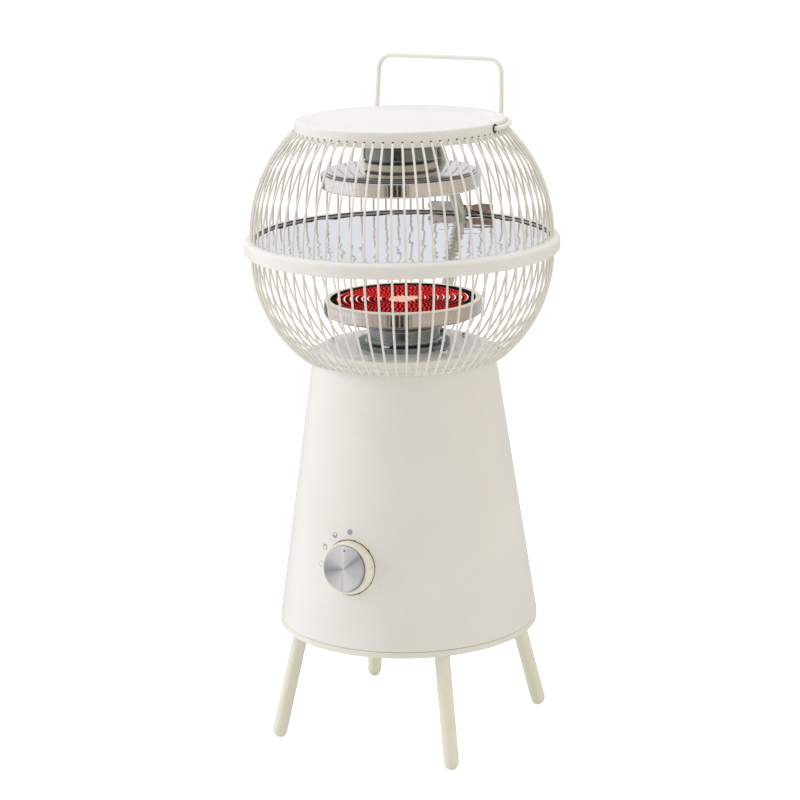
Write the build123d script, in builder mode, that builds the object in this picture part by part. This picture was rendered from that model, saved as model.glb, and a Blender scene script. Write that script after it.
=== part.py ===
# Cylindrical radiant heater: a wire globe cage on a conical body with four splayed legs.
# Two radiant units face a double mirror disc at the globe's equator.
# Millimetres, +Z up, front at -Y, origin on the floor under the middle of the feet.
import os
from math import acos, asin, atan, atan2, cos, degrees, pi, radians, sin, sqrt, tan

from build123d import *

os.makedirs("parts", exist_ok=True)

# Clearances
seat_gap = 0.3          # between curved or slanted faces that only rest on each other
running_gap = 0.06      # radial, between a shaft or pin and its bore
hole_gap = 0.5          # radial, a wire or screw in its hole

# Feet and legs
leg_diameter = 16.0
leg_tilt = 14.0         # from upright
leg_foot_radius = 147.2  # from the axis to the middle of a foot
leg_foot_flat = 0.4     # how much of the round foot is ground flat
leg_in_socket = 30.0    # length of leg inside its socket
socket_wall = 2.0
socket_cap = 2.5
leg_angles = {"front_left": 225, "front_right": 315, "rear_right": 45, "rear_left": 135}
leg_bolt_diameter = 5.0
leg_bolt_length = 16.0

# Base tray
tray_bottom = 120.5
trim_height = 6.7
tray_sheet = 1.5
tray_edge_round = 1.2
tray_lip_height = 9.0
tray_slot_count = 12
tray_slot_length = 34.0
tray_slot_width = 5.0
tray_slot_radius = 62.0
seam_gap = 0.4          # shadow line between trim and body

# Conical body
body_bottom_radius = 138.3
body_top_radius = 96.8
body_top = 409.3
body_sheet = 1.2
body_flange_width = 44.8
body_screw_angles = (22.5, 112.5, 202.5, 292.5)
body_lug_size = 14.0
body_lug_length = 12.0
body_screw_diameter = 4.0

# Knob and its switch
knob_height = 211.4     # of the shaft where it leaves the body
knob_base_diameter = 56.4
knob_front_diameter = 53.2
knob_depth = 8.4
knob_lift = 0.9         # between the body and the knob's back
knob_flutes = 10
knob_flute_depth = 0.35
knob_flute_width = 1.6
knob_cap_diameter = 47.2
knob_cap_thickness = 4.4
knob_cap_seat = 1.6       # how deep the cap is let into the knob
knob_wall = 3.0
knob_hub_diameter = 13.0
knob_front_wall = 2.2
knob_dot_diameter = 2.4
knob_dot_radius = 19.0
knob_dot_depth = 0.6
shaft_diameter = 6.0
shaft_flat = 1.5        # how much the D-cut takes off the shaft
switch_size = 30.0
switch_depth = 24.0
switch_bush_diameter = 10.0
switch_bush_length = 3.6
nut_height = 2.5
bracket_sheet = 1.5
bracket_width = 44.0
bracket_height = 60.0

# Safety switch, terminals and cord inlet
tilt_switch_size = (22.0, 34.0, 26.0)
tilt_switch_place = (-38.0, 0.0)
terminal_block_size = (22.0, 58.0, 20.0)
terminal_block_place = (38.0, 0.0)
terminal_count = 5
terminal_pitch = 11.0
terminal_screw_diameter = 6.0
terminal_screw_height = 1.5
terminal_well_depth = 4.0
cutout_diameter = 16.0
cutout_height = 9.0
cutout_place = (-74.0, 0.0)
cutout_plate = (26.0, 10.0, 1.0)
gland_height = 147.0
gland_outer_diameter = 18.0
gland_neck_diameter = 12.0
gland_bore = 8.5
gland_head = 5.0
gland_nut = 4.0

# Cage floor plate
floor_radius = 97.4
floor_rim_top = 414.8
floor_sheet = 1.0
floor_rise_outer = 90.5
floor_rise_inner = 87.0
floor_top = 421.5
floor_screws = [(189, 80.0), (343, 60.5), (60, 76.0)]   # angle and radius
floor_screw_diameter = 4.0
floor_screw_head = 7.0
floor_screw_grip = 14.0
screw_head_height = 3.0

# Radiant unit, measured from the face it is fixed to
flange_radius = 49.0
flange_height = 5.5
flange_slots = 4
flange_slot_length = 6.5
flange_slot_width = 2.2
flange_slot_radius = 44.0
cup_radius = 38.0
cup_height = 18.4
cup_round = 5.0
cup_sheet = 1.2
spacer_large_radius = 37.6
spacer_large_height = 6.6
spacer_small_radius = 35.2
spacer_small_height = 2.1
spacer_bore = 26.0
pan_steps = [(77.0, 1.4), (80.0, 1.3)]   # radius and height of each step behind the pan
pan_radius = 83.0
pan_height = 13.5
pan_sheet = 0.8
bezel_height = 1.8      # of the insulation ring above the pan
bezel_inner_radius = 74.5
bezel_ledge = 3.0
bezel_dish = 1.0        # how much lower its inner edge is
bed_thickness = 12.4
glass_thickness = 1.2
glass_drop = 1.2        # of the glass below the insulation ring
coil_turns = 11
coil_first_radius = 4.0
coil_pitch = 6.0
coil_wire = 2.0
coil_tail = 9.0
coil_tail_bend = 2.4
cup_screw_diameter = 4.0
cup_screw_head = 7.0
cup_screw_angles = (275, 7, 140)
cup_screw_radius = 43.5
cup_screw_grip = 9.0    # from the flange into what it is fixed to

# Equator ring and mirror discs
ring_height_mid = 530.5
ring_radius = 165.0
ring_width = 11.0
ring_height = 16.0
ring_sheet = 1.5
ring_top_round = 5.0
ring_bottom_round = 3.2
ring_ledge_width = 6.0
ring_ledge_sheet = 1.5
disc_gap = 0.5          # between disc and ring
disc_sheet = 0.9
disc_below_rim = 2.7
rivet_count = 6
rivet_diameter = 3.0
rivet_head = 5.0
rivet_head_height = 1.2

# Cage wires
wire_count = 72
wire_diameter = 2.4
wire_from_outside = 7.5  # from the ring's outer face to the middle of a wire
wire_in_ring = 5.0
wire_hole_gap = 0.2
upper_arc_radius = 150.0
lower_arc_radius = 140.0
arc_start = 2.0         # from the ring to where a wire starts to curve
upper_bend_radius = 3.0
lower_bend_radius = 6.0
upper_hole_height = 648.3
wire_through = 2.6      # how far the ends reach inside

# Lid
lid_radius = 109.3
lid_top = 660.3
lid_bottom = 644.4
lid_sheet = 1.2
lid_edge_round = 1.6
lid_dish_depth = 1.0
lid_dish_radius = 96.0
inner_plate_top = 646.4
inner_plate_sheet = 1.2
inner_plate_gap = 0.4
inner_plate_boss_radius = 56.0
unit_ceiling = 640.0    # face that carries the upper unit
lid_post_angles = (30, 150, 270)
lid_post_radius = 88.0
lid_post_diameter = 9.0
lid_screw_diameter = 4.0
lid_screw_head = 7.0
lid_screw_length = 10.0

# Handle
handle_rod = 5.0
handle_pivot_height = 654.6
handle_gap = 1.2        # between rod and skirt
handle_pivot_bend = 2.9
handle_leg_angle = 46.0  # round the lid, from the pivot to the leg
handle_bar_height = 714.0  # of the bar's middle line
handle_lean_back = 5.0
handle_narrowing = 1.8
handle_corner_round = 15.0
handle_foot_round = 6.0
bush_outer_diameter = 8.4
bush_flange_diameter = 9.4
bush_flange = 0.5
bush_length = 5.0
clip_diameter = 8.0
clip_thickness = 1.0
stop_diameter = 2.6     # pins on the skirt that the handle rests on
stop_angle = 42.5
stop_length = 4.0

# Conduit behind the units and its saddle
tube_diameter = 12.5
tube_wall = 1.0
tube_from_ring = 20.0   # from the ring's inner face to the tube's middle line
tube_tilt = 32.0
tube_bend_radius = 30.0
tube_past_plate = 4.0
tube_hole_gap = 0.5
ferrule_flange = 1.6
ferrule_diameter = 21.0
saddle_left = 45.0      # reach of its longer wing from the tube
saddle_right = 33.0
saddle_height = 10.0
saddle_sheet = 1.2

# Worked out from the sizes above
body_bottom = tray_bottom + trim_height + seam_gap
ring_inner_radius = ring_radius - ring_width
wire_equator_radius = ring_radius - wire_from_outside
tube_equator_radius = ring_inner_radius - tube_from_ring
body_slope = (body_bottom_radius - body_top_radius) / (body_top - body_bottom)
body_angle = degrees(atan(body_slope))
wall_across = body_sheet / cos(radians(body_angle))


def spot(angle, radius):
    return (radius * cos(radians(angle)), radius * sin(radians(angle)))


def around(radius, angles):
    return Locations([Location((radius * cos(radians(a)), radius * sin(radians(a)), 0), a) for a in angles])


def body_radius(height):
    return body_bottom_radius - body_slope * (height - body_bottom)


def write(piece, name):
    piece.part.label = name
    export_step(piece.part, f"parts/{name}.step")


# Legs: round rods with ball ends, ground flat where they stand
foot_centre_height = leg_diameter / 2 - leg_foot_flat
leg_plane = {}
for place, angle in leg_angles.items():
    outward = Vector(cos(radians(angle)), sin(radians(angle)), 0)
    axis = Vector(0, 0, cos(radians(leg_tilt))) - outward * sin(radians(leg_tilt))
    foot = outward * leg_foot_radius + Vector(0, 0, foot_centre_height)
    leg_plane[place] = Plane(origin=foot, x_dir=outward.cross(Vector(0, 0, 1)), z_dir=axis)
tray_floor_top = tray_bottom + tray_sheet
leg_to_tray = (tray_floor_top - foot_centre_height) / cos(radians(leg_tilt))
leg_length = leg_to_tray + leg_in_socket
for place, plane in leg_plane.items():
    with BuildPart() as leg:
        with BuildSketch(plane):
            Circle(leg_diameter / 2)
        extrude(amount=leg_length)
        with Locations(plane):
            Sphere(leg_diameter / 2)
        split(bisect_by=Plane.XY, keep=Keep.TOP)
        with BuildSketch(plane.offset(leg_length)):
            Circle(leg_bolt_diameter / 2 + running_gap)
        extrude(amount=-leg_bolt_length, mode=Mode.SUBTRACT)
    write(leg, f"leg_{place}")

# Base tray with its trim, lip, vent slots, four leg sockets and screw holes
trim_radius = body_bottom_radius
lip_radius = body_radius(body_bottom + tray_lip_height) - wall_across - seat_gap
tray_top = tray_bottom + trim_height
lip_top = tray_top + tray_lip_height
socket_length = leg_in_socket + socket_cap
lug_radius = lip_radius - tray_sheet - body_lug_size / 2 - 1.0
with BuildPart() as base_tray:
    with BuildSketch(Plane.XZ) as profile:
        with BuildLine():
            Polyline(
                (0, tray_bottom),
                (trim_radius, tray_bottom),
                (trim_radius, tray_top),
                (lip_radius, tray_top),
                (lip_radius, lip_top),
                (lip_radius - tray_sheet, lip_top),
                (lip_radius - tray_sheet, tray_floor_top),
                (0, tray_floor_top),
                close=True,
            )
        make_face()
        fillet(profile.vertices().sort_by(Axis.X)[-2:], tray_edge_round)
    revolve(axis=Axis.Z)
    for plane in leg_plane.values():
        with BuildSketch(plane.offset(leg_to_tray - leg_diameter * tan(radians(leg_tilt)))):
            Circle(leg_diameter / 2 + seat_gap + socket_wall)
        extrude(amount=socket_length + leg_diameter * tan(radians(leg_tilt)))
    split(bisect_by=Plane.XY.offset(tray_bottom), keep=Keep.TOP)
    for plane in leg_plane.values():
        with BuildSketch(plane.offset(leg_to_tray / 2)):
            Circle(leg_diameter / 2 + seat_gap)
        extrude(amount=leg_to_tray / 2 + leg_in_socket + seat_gap, mode=Mode.SUBTRACT)
        with BuildSketch(plane.offset(leg_length)):
            Circle(leg_bolt_diameter / 2 + hole_gap)
        extrude(amount=socket_cap * 2, mode=Mode.SUBTRACT)
    with BuildSketch(Plane.XY.offset(tray_bottom)):
        with PolarLocations(tray_slot_radius, tray_slot_count):
            SlotOverall(tray_slot_length, tray_slot_width)
        with around(lug_radius, body_screw_angles):
            Circle(body_screw_diameter / 2 + hole_gap)
    extrude(amount=tray_sheet, mode=Mode.SUBTRACT)
write(base_tray, "base_tray")

# Bolts down through the socket caps into the legs
with BuildPart() as leg_bolts:
    for plane in leg_plane.values():
        cap_top = leg_length + seat_gap + socket_cap
        with BuildSketch(plane.offset(cap_top)):
            RegularPolygon(leg_bolt_diameter * 0.9, 6)
        extrude(amount=leg_bolt_diameter * 0.7)
        with BuildSketch(plane.offset(cap_top)):
            Circle(leg_bolt_diameter / 2)
        extrude(amount=-(leg_bolt_length * 0.9))
write(leg_bolts, "leg_bolts")

# Knob frame: its axis stands square on the cone, at the front
knob_face = Vector(0, -cos(radians(body_angle)), sin(radians(body_angle)))
knob_seat = Vector(0, -body_radius(knob_height), knob_height)
knob_plane = Plane(origin=knob_seat, x_dir=(1, 0, 0), z_dir=knob_face)

# Conical body shell with its top flange, shaft hole, inlet hole and screw lugs
floor_screw_spots = [spot(angle, radius) for angle, radius in floor_screws]
lug_top = lip_top + body_lug_length
with BuildPart() as body_shell:
    with BuildSketch(Plane.XZ) as profile:
        with BuildLine():
            Polyline(
                (body_bottom_radius, body_bottom),
                (body_top_radius, body_top),
                (body_top_radius - body_flange_width, body_top),
                (body_top_radius - body_flange_width, body_top - body_sheet),
                (body_radius(body_top - body_sheet) - wall_across, body_top - body_sheet),
                (body_bottom_radius - wall_across, body_bottom),
                close=True,
            )
        make_face()
    revolve(axis=Axis.Z)
    with BuildPart(mode=Mode.PRIVATE) as lugs:
        with BuildSketch(Plane.XY.offset(lip_top + seat_gap)):
            with around(lug_radius, body_screw_angles):
                with Locations((body_lug_size / 2, 0)):
                    Rectangle(body_lug_size * 2, body_lug_size)
        extrude(amount=body_lug_length)
        with BuildSketch(Plane.XY.offset(lip_top + seat_gap)):
            with around(lug_radius, body_screw_angles):
                Circle(body_screw_diameter / 2 + running_gap)
        extrude(amount=body_lug_length - 2, mode=Mode.SUBTRACT)
        with BuildSketch(Plane.XZ):
            with BuildLine():
                Polyline(
                    (0, body_bottom),
                    (body_bottom_radius - wall_across / 2, body_bottom),
                    (body_radius(lug_top + 5) - wall_across / 2, lug_top + 5),
                    (0, lug_top + 5),
                    close=True,
                )
            make_face()
        revolve(axis=Axis.Z, mode=Mode.INTERSECT)
    add(lugs.part)
    with BuildSketch(knob_plane.offset(knob_depth)):
        Circle(switch_bush_diameter / 2 + hole_gap)
    extrude(amount=-knob_depth * 2, mode=Mode.SUBTRACT)
    with BuildSketch(Plane.XZ.offset(-body_bottom_radius * 1.2)):
        with Locations((0, gland_height)):
            Circle(gland_neck_diameter / 2 + hole_gap)
    extrude(amount=body_bottom_radius * 0.6, mode=Mode.SUBTRACT)
    with BuildSketch(Plane.XY.offset(body_top)):
        with Locations(floor_screw_spots):
            Circle(floor_screw_diameter / 2 + running_gap)
    extrude(amount=-body_sheet, mode=Mode.SUBTRACT)
write(body_shell, "body_shell")

# Screws up through the tray into the body's lugs
with BuildPart() as base_screws:
    with BuildSketch(Plane.XY.offset(tray_bottom)):
        with around(lug_radius, body_screw_angles):
            Circle(body_screw_diameter)
    extrude(amount=-body_screw_diameter * 0.5)
    with BuildSketch(Plane.XY.offset(tray_bottom)):
        with around(lug_radius, body_screw_angles):
            Circle(body_screw_diameter / 2)
    extrude(amount=lug_top - tray_bottom - 4)
write(base_screws, "base_screws")

# Knob: a tapered cup with shallow flutes, a spun metal cap and a D-shaped shaft
with BuildPart() as knob_body:
    with BuildSketch(knob_plane.offset(knob_lift)):
        Circle(knob_base_diameter / 2)
    with BuildSketch(knob_plane.offset(knob_lift + knob_depth)):
        Circle(knob_front_diameter / 2)
    loft()
    with BuildSketch(knob_plane.offset(knob_lift)):
        Circle(knob_front_diameter / 2 - knob_wall)
        Circle(knob_hub_diameter / 2, mode=Mode.SUBTRACT)
    extrude(amount=knob_depth - knob_cap_seat - knob_front_wall, mode=Mode.SUBTRACT)
    with BuildSketch(knob_plane):
        with PolarLocations(knob_base_diameter / 2, knob_flutes):
            Rectangle(knob_flute_depth * 2, knob_flute_width)
    extrude(amount=knob_depth, mode=Mode.SUBTRACT)
    with BuildSketch(knob_plane.offset(knob_lift + knob_depth)):
        Circle(knob_cap_diameter / 2 + running_gap)
    extrude(amount=-knob_cap_seat, mode=Mode.SUBTRACT)
    with BuildSketch(knob_plane.offset(knob_lift)):
        Circle(switch_bush_diameter * 0.7 + hole_gap)
    extrude(amount=nut_height, mode=Mode.SUBTRACT)
    with BuildSketch(knob_plane.offset(knob_lift)):
        Circle(switch_bush_diameter / 2 + hole_gap)
    extrude(amount=switch_bush_length, mode=Mode.SUBTRACT)
    with BuildSketch(knob_plane.offset(knob_lift)):
        Circle(shaft_diameter / 2)
        with Locations((0, shaft_diameter / 2)):
            Rectangle(shaft_diameter, shaft_flat * 2, mode=Mode.SUBTRACT)
    extrude(amount=knob_depth - knob_cap_seat, mode=Mode.SUBTRACT)
write(knob_body, "knob_body")

cap_back = knob_lift + knob_depth - knob_cap_seat
with BuildPart() as knob_cap:
    with BuildSketch(knob_plane.offset(cap_back)):
        Circle(knob_cap_diameter / 2)
    extrude(amount=knob_cap_thickness)
    with BuildSketch(knob_plane.offset(cap_back + knob_cap_thickness)):
        with Locations((0, knob_dot_radius)):
            Circle(knob_dot_diameter / 2)
    extrude(amount=-knob_dot_depth, mode=Mode.SUBTRACT)
write(knob_cap, "knob_cap")

# Switch behind the front wall: its flat bracket clears the curved wall
bracket_reach = body_radius(knob_height + bracket_height / 2)
bracket_sagitta = bracket_reach - sqrt(bracket_reach**2 - (bracket_width / 2) ** 2)
bracket_front = -(body_sheet + bracket_sagitta + seat_gap)
switch_front = bracket_front - bracket_sheet
with BuildPart() as switch_bracket:
    with BuildSketch(knob_plane.offset(bracket_front)):
        Rectangle(bracket_width, bracket_height)
        Circle(switch_bush_diameter / 2 + running_gap, mode=Mode.SUBTRACT)
    extrude(amount=-bracket_sheet)
    with BuildSketch(knob_plane.offset(bracket_front)):
        with GridLocations(0, bracket_height - bracket_sheet, 1, 2):
            Rectangle(bracket_width, bracket_sheet)
    extrude(amount=-bracket_sheet * 6)
write(switch_bracket, "switch_bracket")

with BuildPart() as rotary_switch:
    with BuildSketch(knob_plane.offset(switch_front)):
        RectangleRounded(switch_size, switch_size, 3)
    extrude(amount=-switch_depth)
    with BuildSketch(knob_plane.offset(switch_front)):
        Circle(switch_bush_diameter / 2)
    extrude(amount=switch_bush_length - switch_front)
    with BuildSketch(knob_plane.offset(switch_bush_length)):
        Circle(shaft_diameter / 2 + running_gap)
    extrude(amount=-(switch_bush_length - switch_front + switch_depth / 2), mode=Mode.SUBTRACT)
    with BuildSketch(knob_plane.offset(switch_front - switch_depth)):
        with GridLocations(switch_size / 3, switch_size / 2, 3, 2):
            Rectangle(0.8, 6)
    extrude(amount=-7)
write(rotary_switch, "rotary_switch")

with BuildPart() as switch_nut:
    with BuildSketch(knob_plane.offset(seat_gap)):
        RegularPolygon(switch_bush_diameter * 0.7, 6)
        Circle(switch_bush_diameter / 2, mode=Mode.SUBTRACT)
    extrude(amount=nut_height)
write(switch_nut, "switch_nut")

shaft_back = switch_front - switch_depth / 2 + hole_gap
shaft_front = cap_back - hole_gap
with BuildPart() as knob_shaft:
    with BuildSketch(knob_plane.offset(shaft_back)):
        Circle(shaft_diameter / 2)
    extrude(amount=shaft_front - shaft_back)
    with BuildSketch(knob_plane.offset(switch_bush_length + hole_gap)):
        with Locations((0, shaft_diameter / 2)):
            Rectangle(shaft_diameter, shaft_flat * 2)
    extrude(amount=knob_depth, mode=Mode.SUBTRACT)
write(knob_shaft, "knob_shaft")

# Tip-over switch and terminal block on the tray floor
with BuildPart() as tilt_switch:
    with BuildSketch(Plane.XY.offset(tray_floor_top)):
        with Locations(tilt_switch_place):
            RectangleRounded(tilt_switch_size[0], tilt_switch_size[1], 3)
    extrude(amount=tilt_switch_size[2])
    fillet(tilt_switch.faces().sort_by(Axis.Z)[-1].edges(), 2)
    with BuildSketch(Plane.XY.offset(tray_floor_top + tilt_switch_size[2])):
        with Locations(tilt_switch_place):
            with GridLocations(0, tilt_switch_size[1] / 2, 1, 2):
                Rectangle(6, 0.8)
    extrude(amount=7)
write(tilt_switch, "tilt_switch")

block_top = tray_floor_top + terminal_block_size[2]
with BuildPart() as terminal_block:
    with BuildSketch(Plane.XY.offset(tray_floor_top)):
        with Locations(terminal_block_place):
            Rectangle(terminal_block_size[0], terminal_block_size[1])
    extrude(amount=terminal_block_size[2])
    with BuildSketch(Plane.XY.offset(block_top)):
        with Locations(terminal_block_place):
            with GridLocations(0, terminal_pitch, 1, terminal_count):
                Circle(terminal_screw_diameter / 2 + hole_gap)
    extrude(amount=-terminal_well_depth, mode=Mode.SUBTRACT)
write(terminal_block, "terminal_block")

with BuildPart() as terminal_screws:
    with BuildSketch(Plane.XY.offset(block_top - terminal_well_depth)):
        with Locations(terminal_block_place):
            with GridLocations(0, terminal_pitch, 1, terminal_count):
                Circle(terminal_screw_diameter / 2)
    extrude(amount=terminal_screw_height)
write(terminal_screws, "terminal_screws")

# Cord inlet low at the back: head outside, nut inside
gland_wall = body_radius(gland_height - gland_outer_diameter / 2)
gland_plane = Plane(origin=(0, gland_wall + seat_gap, gland_height), x_dir=(-1, 0, 0), z_dir=(0, 1, 0))
gland_inside = body_radius(gland_height + gland_outer_diameter / 2) - wall_across - 1.5
gland_neck = gland_wall + seat_gap - gland_inside + gland_nut + 2
with BuildPart() as cord_gland:
    with BuildSketch(gland_plane):
        Circle(gland_outer_diameter / 2)
    extrude(amount=gland_head)
    fillet(cord_gland.faces().sort_by(Axis.Y)[-1].edges(), 2)
    with BuildSketch(gland_plane):
        Circle(gland_neck_diameter / 2)
    extrude(amount=-gland_neck)
    with BuildSketch(gland_plane.offset(gland_head)):
        Circle(gland_bore / 2)
    extrude(amount=-(gland_head + gland_neck), mode=Mode.SUBTRACT)
write(cord_gland, "cord_gland")

with BuildPart() as gland_nut_ring:
    with BuildSketch(gland_plane.offset(gland_inside - gland_wall - seat_gap)):
        RegularPolygon(gland_outer_diameter / 2, 6)
        Circle(gland_neck_diameter / 2, mode=Mode.SUBTRACT)
    extrude(amount=-gland_nut)
write(gland_nut_ring, "gland_nut")

# Conduit: one bent tube in the rear half, tied to the disc and both plates
tube_plane = Plane.YZ
ring_top = ring_height_mid + ring_height / 2
ring_bottom = ring_height_mid - ring_height / 2
tube_rise = inner_plate_top + tube_past_plate - ring_height_mid
tube_drop = ring_height_mid - (floor_top - floor_sheet - tube_past_plate)
bend_rise = tube_bend_radius * sin(radians(tube_tilt))
with BuildPart(mode=Mode.PRIVATE) as tube_core:
    with BuildLine(tube_plane) as tube_line:
        rise = JernArc((tube_equator_radius, ring_height_mid), (0, 1), tube_bend_radius, tube_tilt)
        Line(rise @ 1, rise @ 1 + rise % 1 * (tube_rise - bend_rise) / cos(radians(tube_tilt)))
        drop = JernArc((tube_equator_radius, ring_height_mid), (0, -1), tube_bend_radius, -tube_tilt)
        Line(drop @ 1, drop @ 1 + drop % 1 * (tube_drop - bend_rise) / cos(radians(tube_tilt)))
tube_path = Wire(tube_line.edges())


def tube_solid(radius):
    with BuildPart(mode=Mode.PRIVATE) as tube:
        with BuildSketch(Plane(origin=tube_path @ 0, z_dir=tube_path % 0)):
            Circle(radius)
        sweep(path=tube_path)
    return tube.part


tube_hole = tube_solid(tube_diameter / 2 + tube_hole_gap)
with BuildPart() as conduit_tube:
    add(tube_solid(tube_diameter / 2))
    add(tube_solid(tube_diameter / 2 - tube_wall), mode=Mode.SUBTRACT)
write(conduit_tube, "conduit_tube")


def tube_radius_at(height):
    rise = abs(height - ring_height_mid)
    if rise < bend_rise:
        return tube_equator_radius - tube_bend_radius + sqrt(tube_bend_radius**2 - rise**2)
    bend = tube_bend_radius * (1 - cos(radians(tube_tilt)))
    return tube_equator_radius - bend - (rise - bend_rise) * tan(radians(tube_tilt))


with BuildPart() as conduit_ferrules:
    for height, direction in ((floor_top, 1), (inner_plate_top - inner_plate_sheet, -1)):
        with BuildSketch(Plane.XY.offset(height)):
            with Locations((0, tube_radius_at(height))):
                Circle(ferrule_diameter / 2)
        extrude(amount=ferrule_flange * direction)
    add(tube_solid(tube_diameter / 2 + running_gap), mode=Mode.SUBTRACT)
write(conduit_ferrules, "conduit_ferrules")


def screw_at(spots, top, direction, head, shank, length):
    with BuildPart(mode=Mode.PRIVATE) as screws:
        with BuildSketch(Plane.XY.offset(top)):
            with Locations(spots):
                Circle(head / 2)
        extrude(amount=screw_head_height * direction)
        tips = screws.faces().group_by(Axis.Z)[-1 if direction > 0 else 0]
        fillet(tips.edges(), screw_head_height * 0.8)
        with BuildSketch(Plane.XY.offset(top)):
            with Locations(spots):
                Circle(shank / 2)
        extrude(amount=-length * direction)
    return screws.part


# Floor plate of the cage: raised middle, low rim with a row of wire holes
rise_run = floor_rise_outer - floor_rise_inner
rise_height = floor_top - floor_rim_top
rise_inset = floor_sheet * (sqrt(rise_run**2 + rise_height**2) - rise_run) / rise_height
floor_wire_height = (body_top + floor_rim_top) / 2
cup_screw_spots = [spot(angle, cup_screw_radius) for angle in cup_screw_angles]
wire_hole = wire_diameter / 2 + wire_hole_gap
with BuildPart() as floor_plate:
    with BuildSketch(Plane.XZ):
        with BuildLine():
            Polyline(
                (spacer_bore / 2, floor_top),
                (floor_rise_inner, floor_top),
                (floor_rise_outer, floor_rim_top),
                (floor_radius, floor_rim_top),
                (floor_radius, body_top),
                (floor_radius - floor_sheet, body_top),
                (floor_radius - floor_sheet, floor_rim_top - floor_sheet),
                (floor_rise_outer - rise_inset, floor_rim_top - floor_sheet),
                (floor_rise_inner - rise_inset, floor_top - floor_sheet),
                (spacer_bore / 2, floor_top - floor_sheet),
                close=True,
            )
        make_face()
    revolve(axis=Axis.Z)
    with BuildSketch(Plane.XY.offset(floor_top)):
        with Locations(floor_screw_spots):
            Circle(floor_screw_diameter / 2 + hole_gap)
        with Locations(cup_screw_spots):
            Circle(cup_screw_diameter / 2 + running_gap)
    extrude(amount=-floor_sheet, mode=Mode.SUBTRACT)
    with PolarLocations(floor_radius - floor_sheet, wire_count, start_angle=-90):
        with Locations(Location((0, 0, floor_wire_height), (0, 90, 0))):
            Cylinder(wire_hole, floor_sheet * 4, mode=Mode.SUBTRACT)
    add(tube_hole, mode=Mode.SUBTRACT)
write(floor_plate, "floor_plate")

with BuildPart() as floor_plate_screws:
    add(screw_at(floor_screw_spots, floor_top, 1, floor_screw_head, floor_screw_diameter, floor_screw_grip))
write(floor_plate_screws, "floor_plate_screws")

# Radiant unit: each piece once, measured up from the face the unit is fixed to
cup_top = flange_height + cup_height
spacer_top = cup_top + spacer_large_height
pan_back = spacer_top + spacer_small_height
with BuildPart(mode=Mode.PRIVATE) as stand:
    with BuildSketch(Plane.XZ) as section:
        with BuildLine():
            Polyline(
                (flange_radius, 0),
                (flange_radius, flange_height),
                (cup_radius, flange_height),
                (cup_radius, cup_top),
                (spacer_bore / 2, cup_top),
                (spacer_bore / 2, cup_top - cup_sheet),
                (cup_radius - cup_sheet, cup_top - cup_sheet),
                (cup_radius - cup_sheet, flange_height - cup_sheet),
                (flange_radius - cup_sheet, flange_height - cup_sheet),
                (flange_radius - cup_sheet, 0),
                close=True,
            )
        make_face()
        top_corners = section.vertices().group_by(Axis.Y)[-1]
        fillet(top_corners.sort_by(Axis.X)[-1], cup_round)
        under_corners = section.vertices().filter_by_position(Axis.Y, cup_top - cup_sheet - 0.1, cup_top - 0.5)
        fillet(under_corners.sort_by(Axis.X)[-1], cup_round - cup_sheet)
    revolve(axis=Axis.Z)
    with BuildSketch(Plane.XY.offset(flange_height)):
        with Locations(cup_screw_spots):
            Circle(cup_screw_diameter / 2 + hole_gap)
        with PolarLocations(flange_slot_radius, flange_slots, start_angle=45):
            with Locations(Location((0, 0, 0), 90)):
                SlotOverall(flange_slot_length, flange_slot_width)
    extrude(amount=-cup_sheet, mode=Mode.SUBTRACT)

with BuildPart(mode=Mode.PRIVATE) as stand_screws:
    add(screw_at(cup_screw_spots, flange_height, 1, cup_screw_head, cup_screw_diameter, cup_screw_grip))

with BuildPart(mode=Mode.PRIVATE) as spacer_large:
    with BuildSketch(Plane.XY.offset(cup_top)):
        Circle(spacer_large_radius)
        Circle(spacer_bore / 2, mode=Mode.SUBTRACT)
    extrude(amount=spacer_large_height)

with BuildPart(mode=Mode.PRIVATE) as spacer_small:
    with BuildSketch(Plane.XY.offset(spacer_top)):
        Circle(spacer_small_radius)
        Circle(spacer_bore / 2, mode=Mode.SUBTRACT)
    extrude(amount=spacer_small_height)

# Stepped pan that holds bed, coil, insulation ring and glass
first_step = pan_back + pan_steps[0][1]
second_step = first_step + pan_steps[1][1]
pan_rim = second_step + pan_height
with BuildPart(mode=Mode.PRIVATE) as pan:
    with BuildSketch(Plane.XZ):
        with BuildLine():
            Polyline(
                (spacer_bore / 2, pan_back),
                (pan_steps[0][0], pan_back),
                (pan_steps[0][0], first_step),
                (pan_steps[1][0], first_step),
                (pan_steps[1][0], second_step),
                (pan_radius, second_step),
                (pan_radius, pan_rim),
                (pan_radius - pan_sheet, pan_rim),
                (pan_radius - pan_sheet, second_step + pan_sheet),
                (pan_steps[1][0] - pan_sheet, second_step + pan_sheet),
                (pan_steps[1][0] - pan_sheet, first_step + pan_sheet),
                (pan_steps[0][0] - pan_sheet, first_step + pan_sheet),
                (pan_steps[0][0] - pan_sheet, pan_back + pan_sheet),
                (spacer_bore / 2, pan_back + pan_sheet),
                close=True,
            )
        make_face()
    revolve(axis=Axis.Z)

ring_front = pan_rim + bezel_height
glass_front = ring_front - glass_drop
glass_back = glass_front - glass_thickness
bore_radius = bezel_inner_radius - bezel_ledge
with BuildPart(mode=Mode.PRIVATE) as insulation_ring:
    with BuildSketch(Plane.XZ):
        with BuildLine():
            Polyline(
                (pan_radius - pan_sheet - running_gap, second_step + pan_sheet),
                (pan_radius - pan_sheet - running_gap, ring_front),
                (bezel_inner_radius, ring_front - bezel_dish),
                (bezel_inner_radius, glass_back),
                (bore_radius, glass_back),
                (bore_radius, second_step + pan_sheet),
                close=True,
            )
        make_face()
    revolve(axis=Axis.Z)

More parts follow.
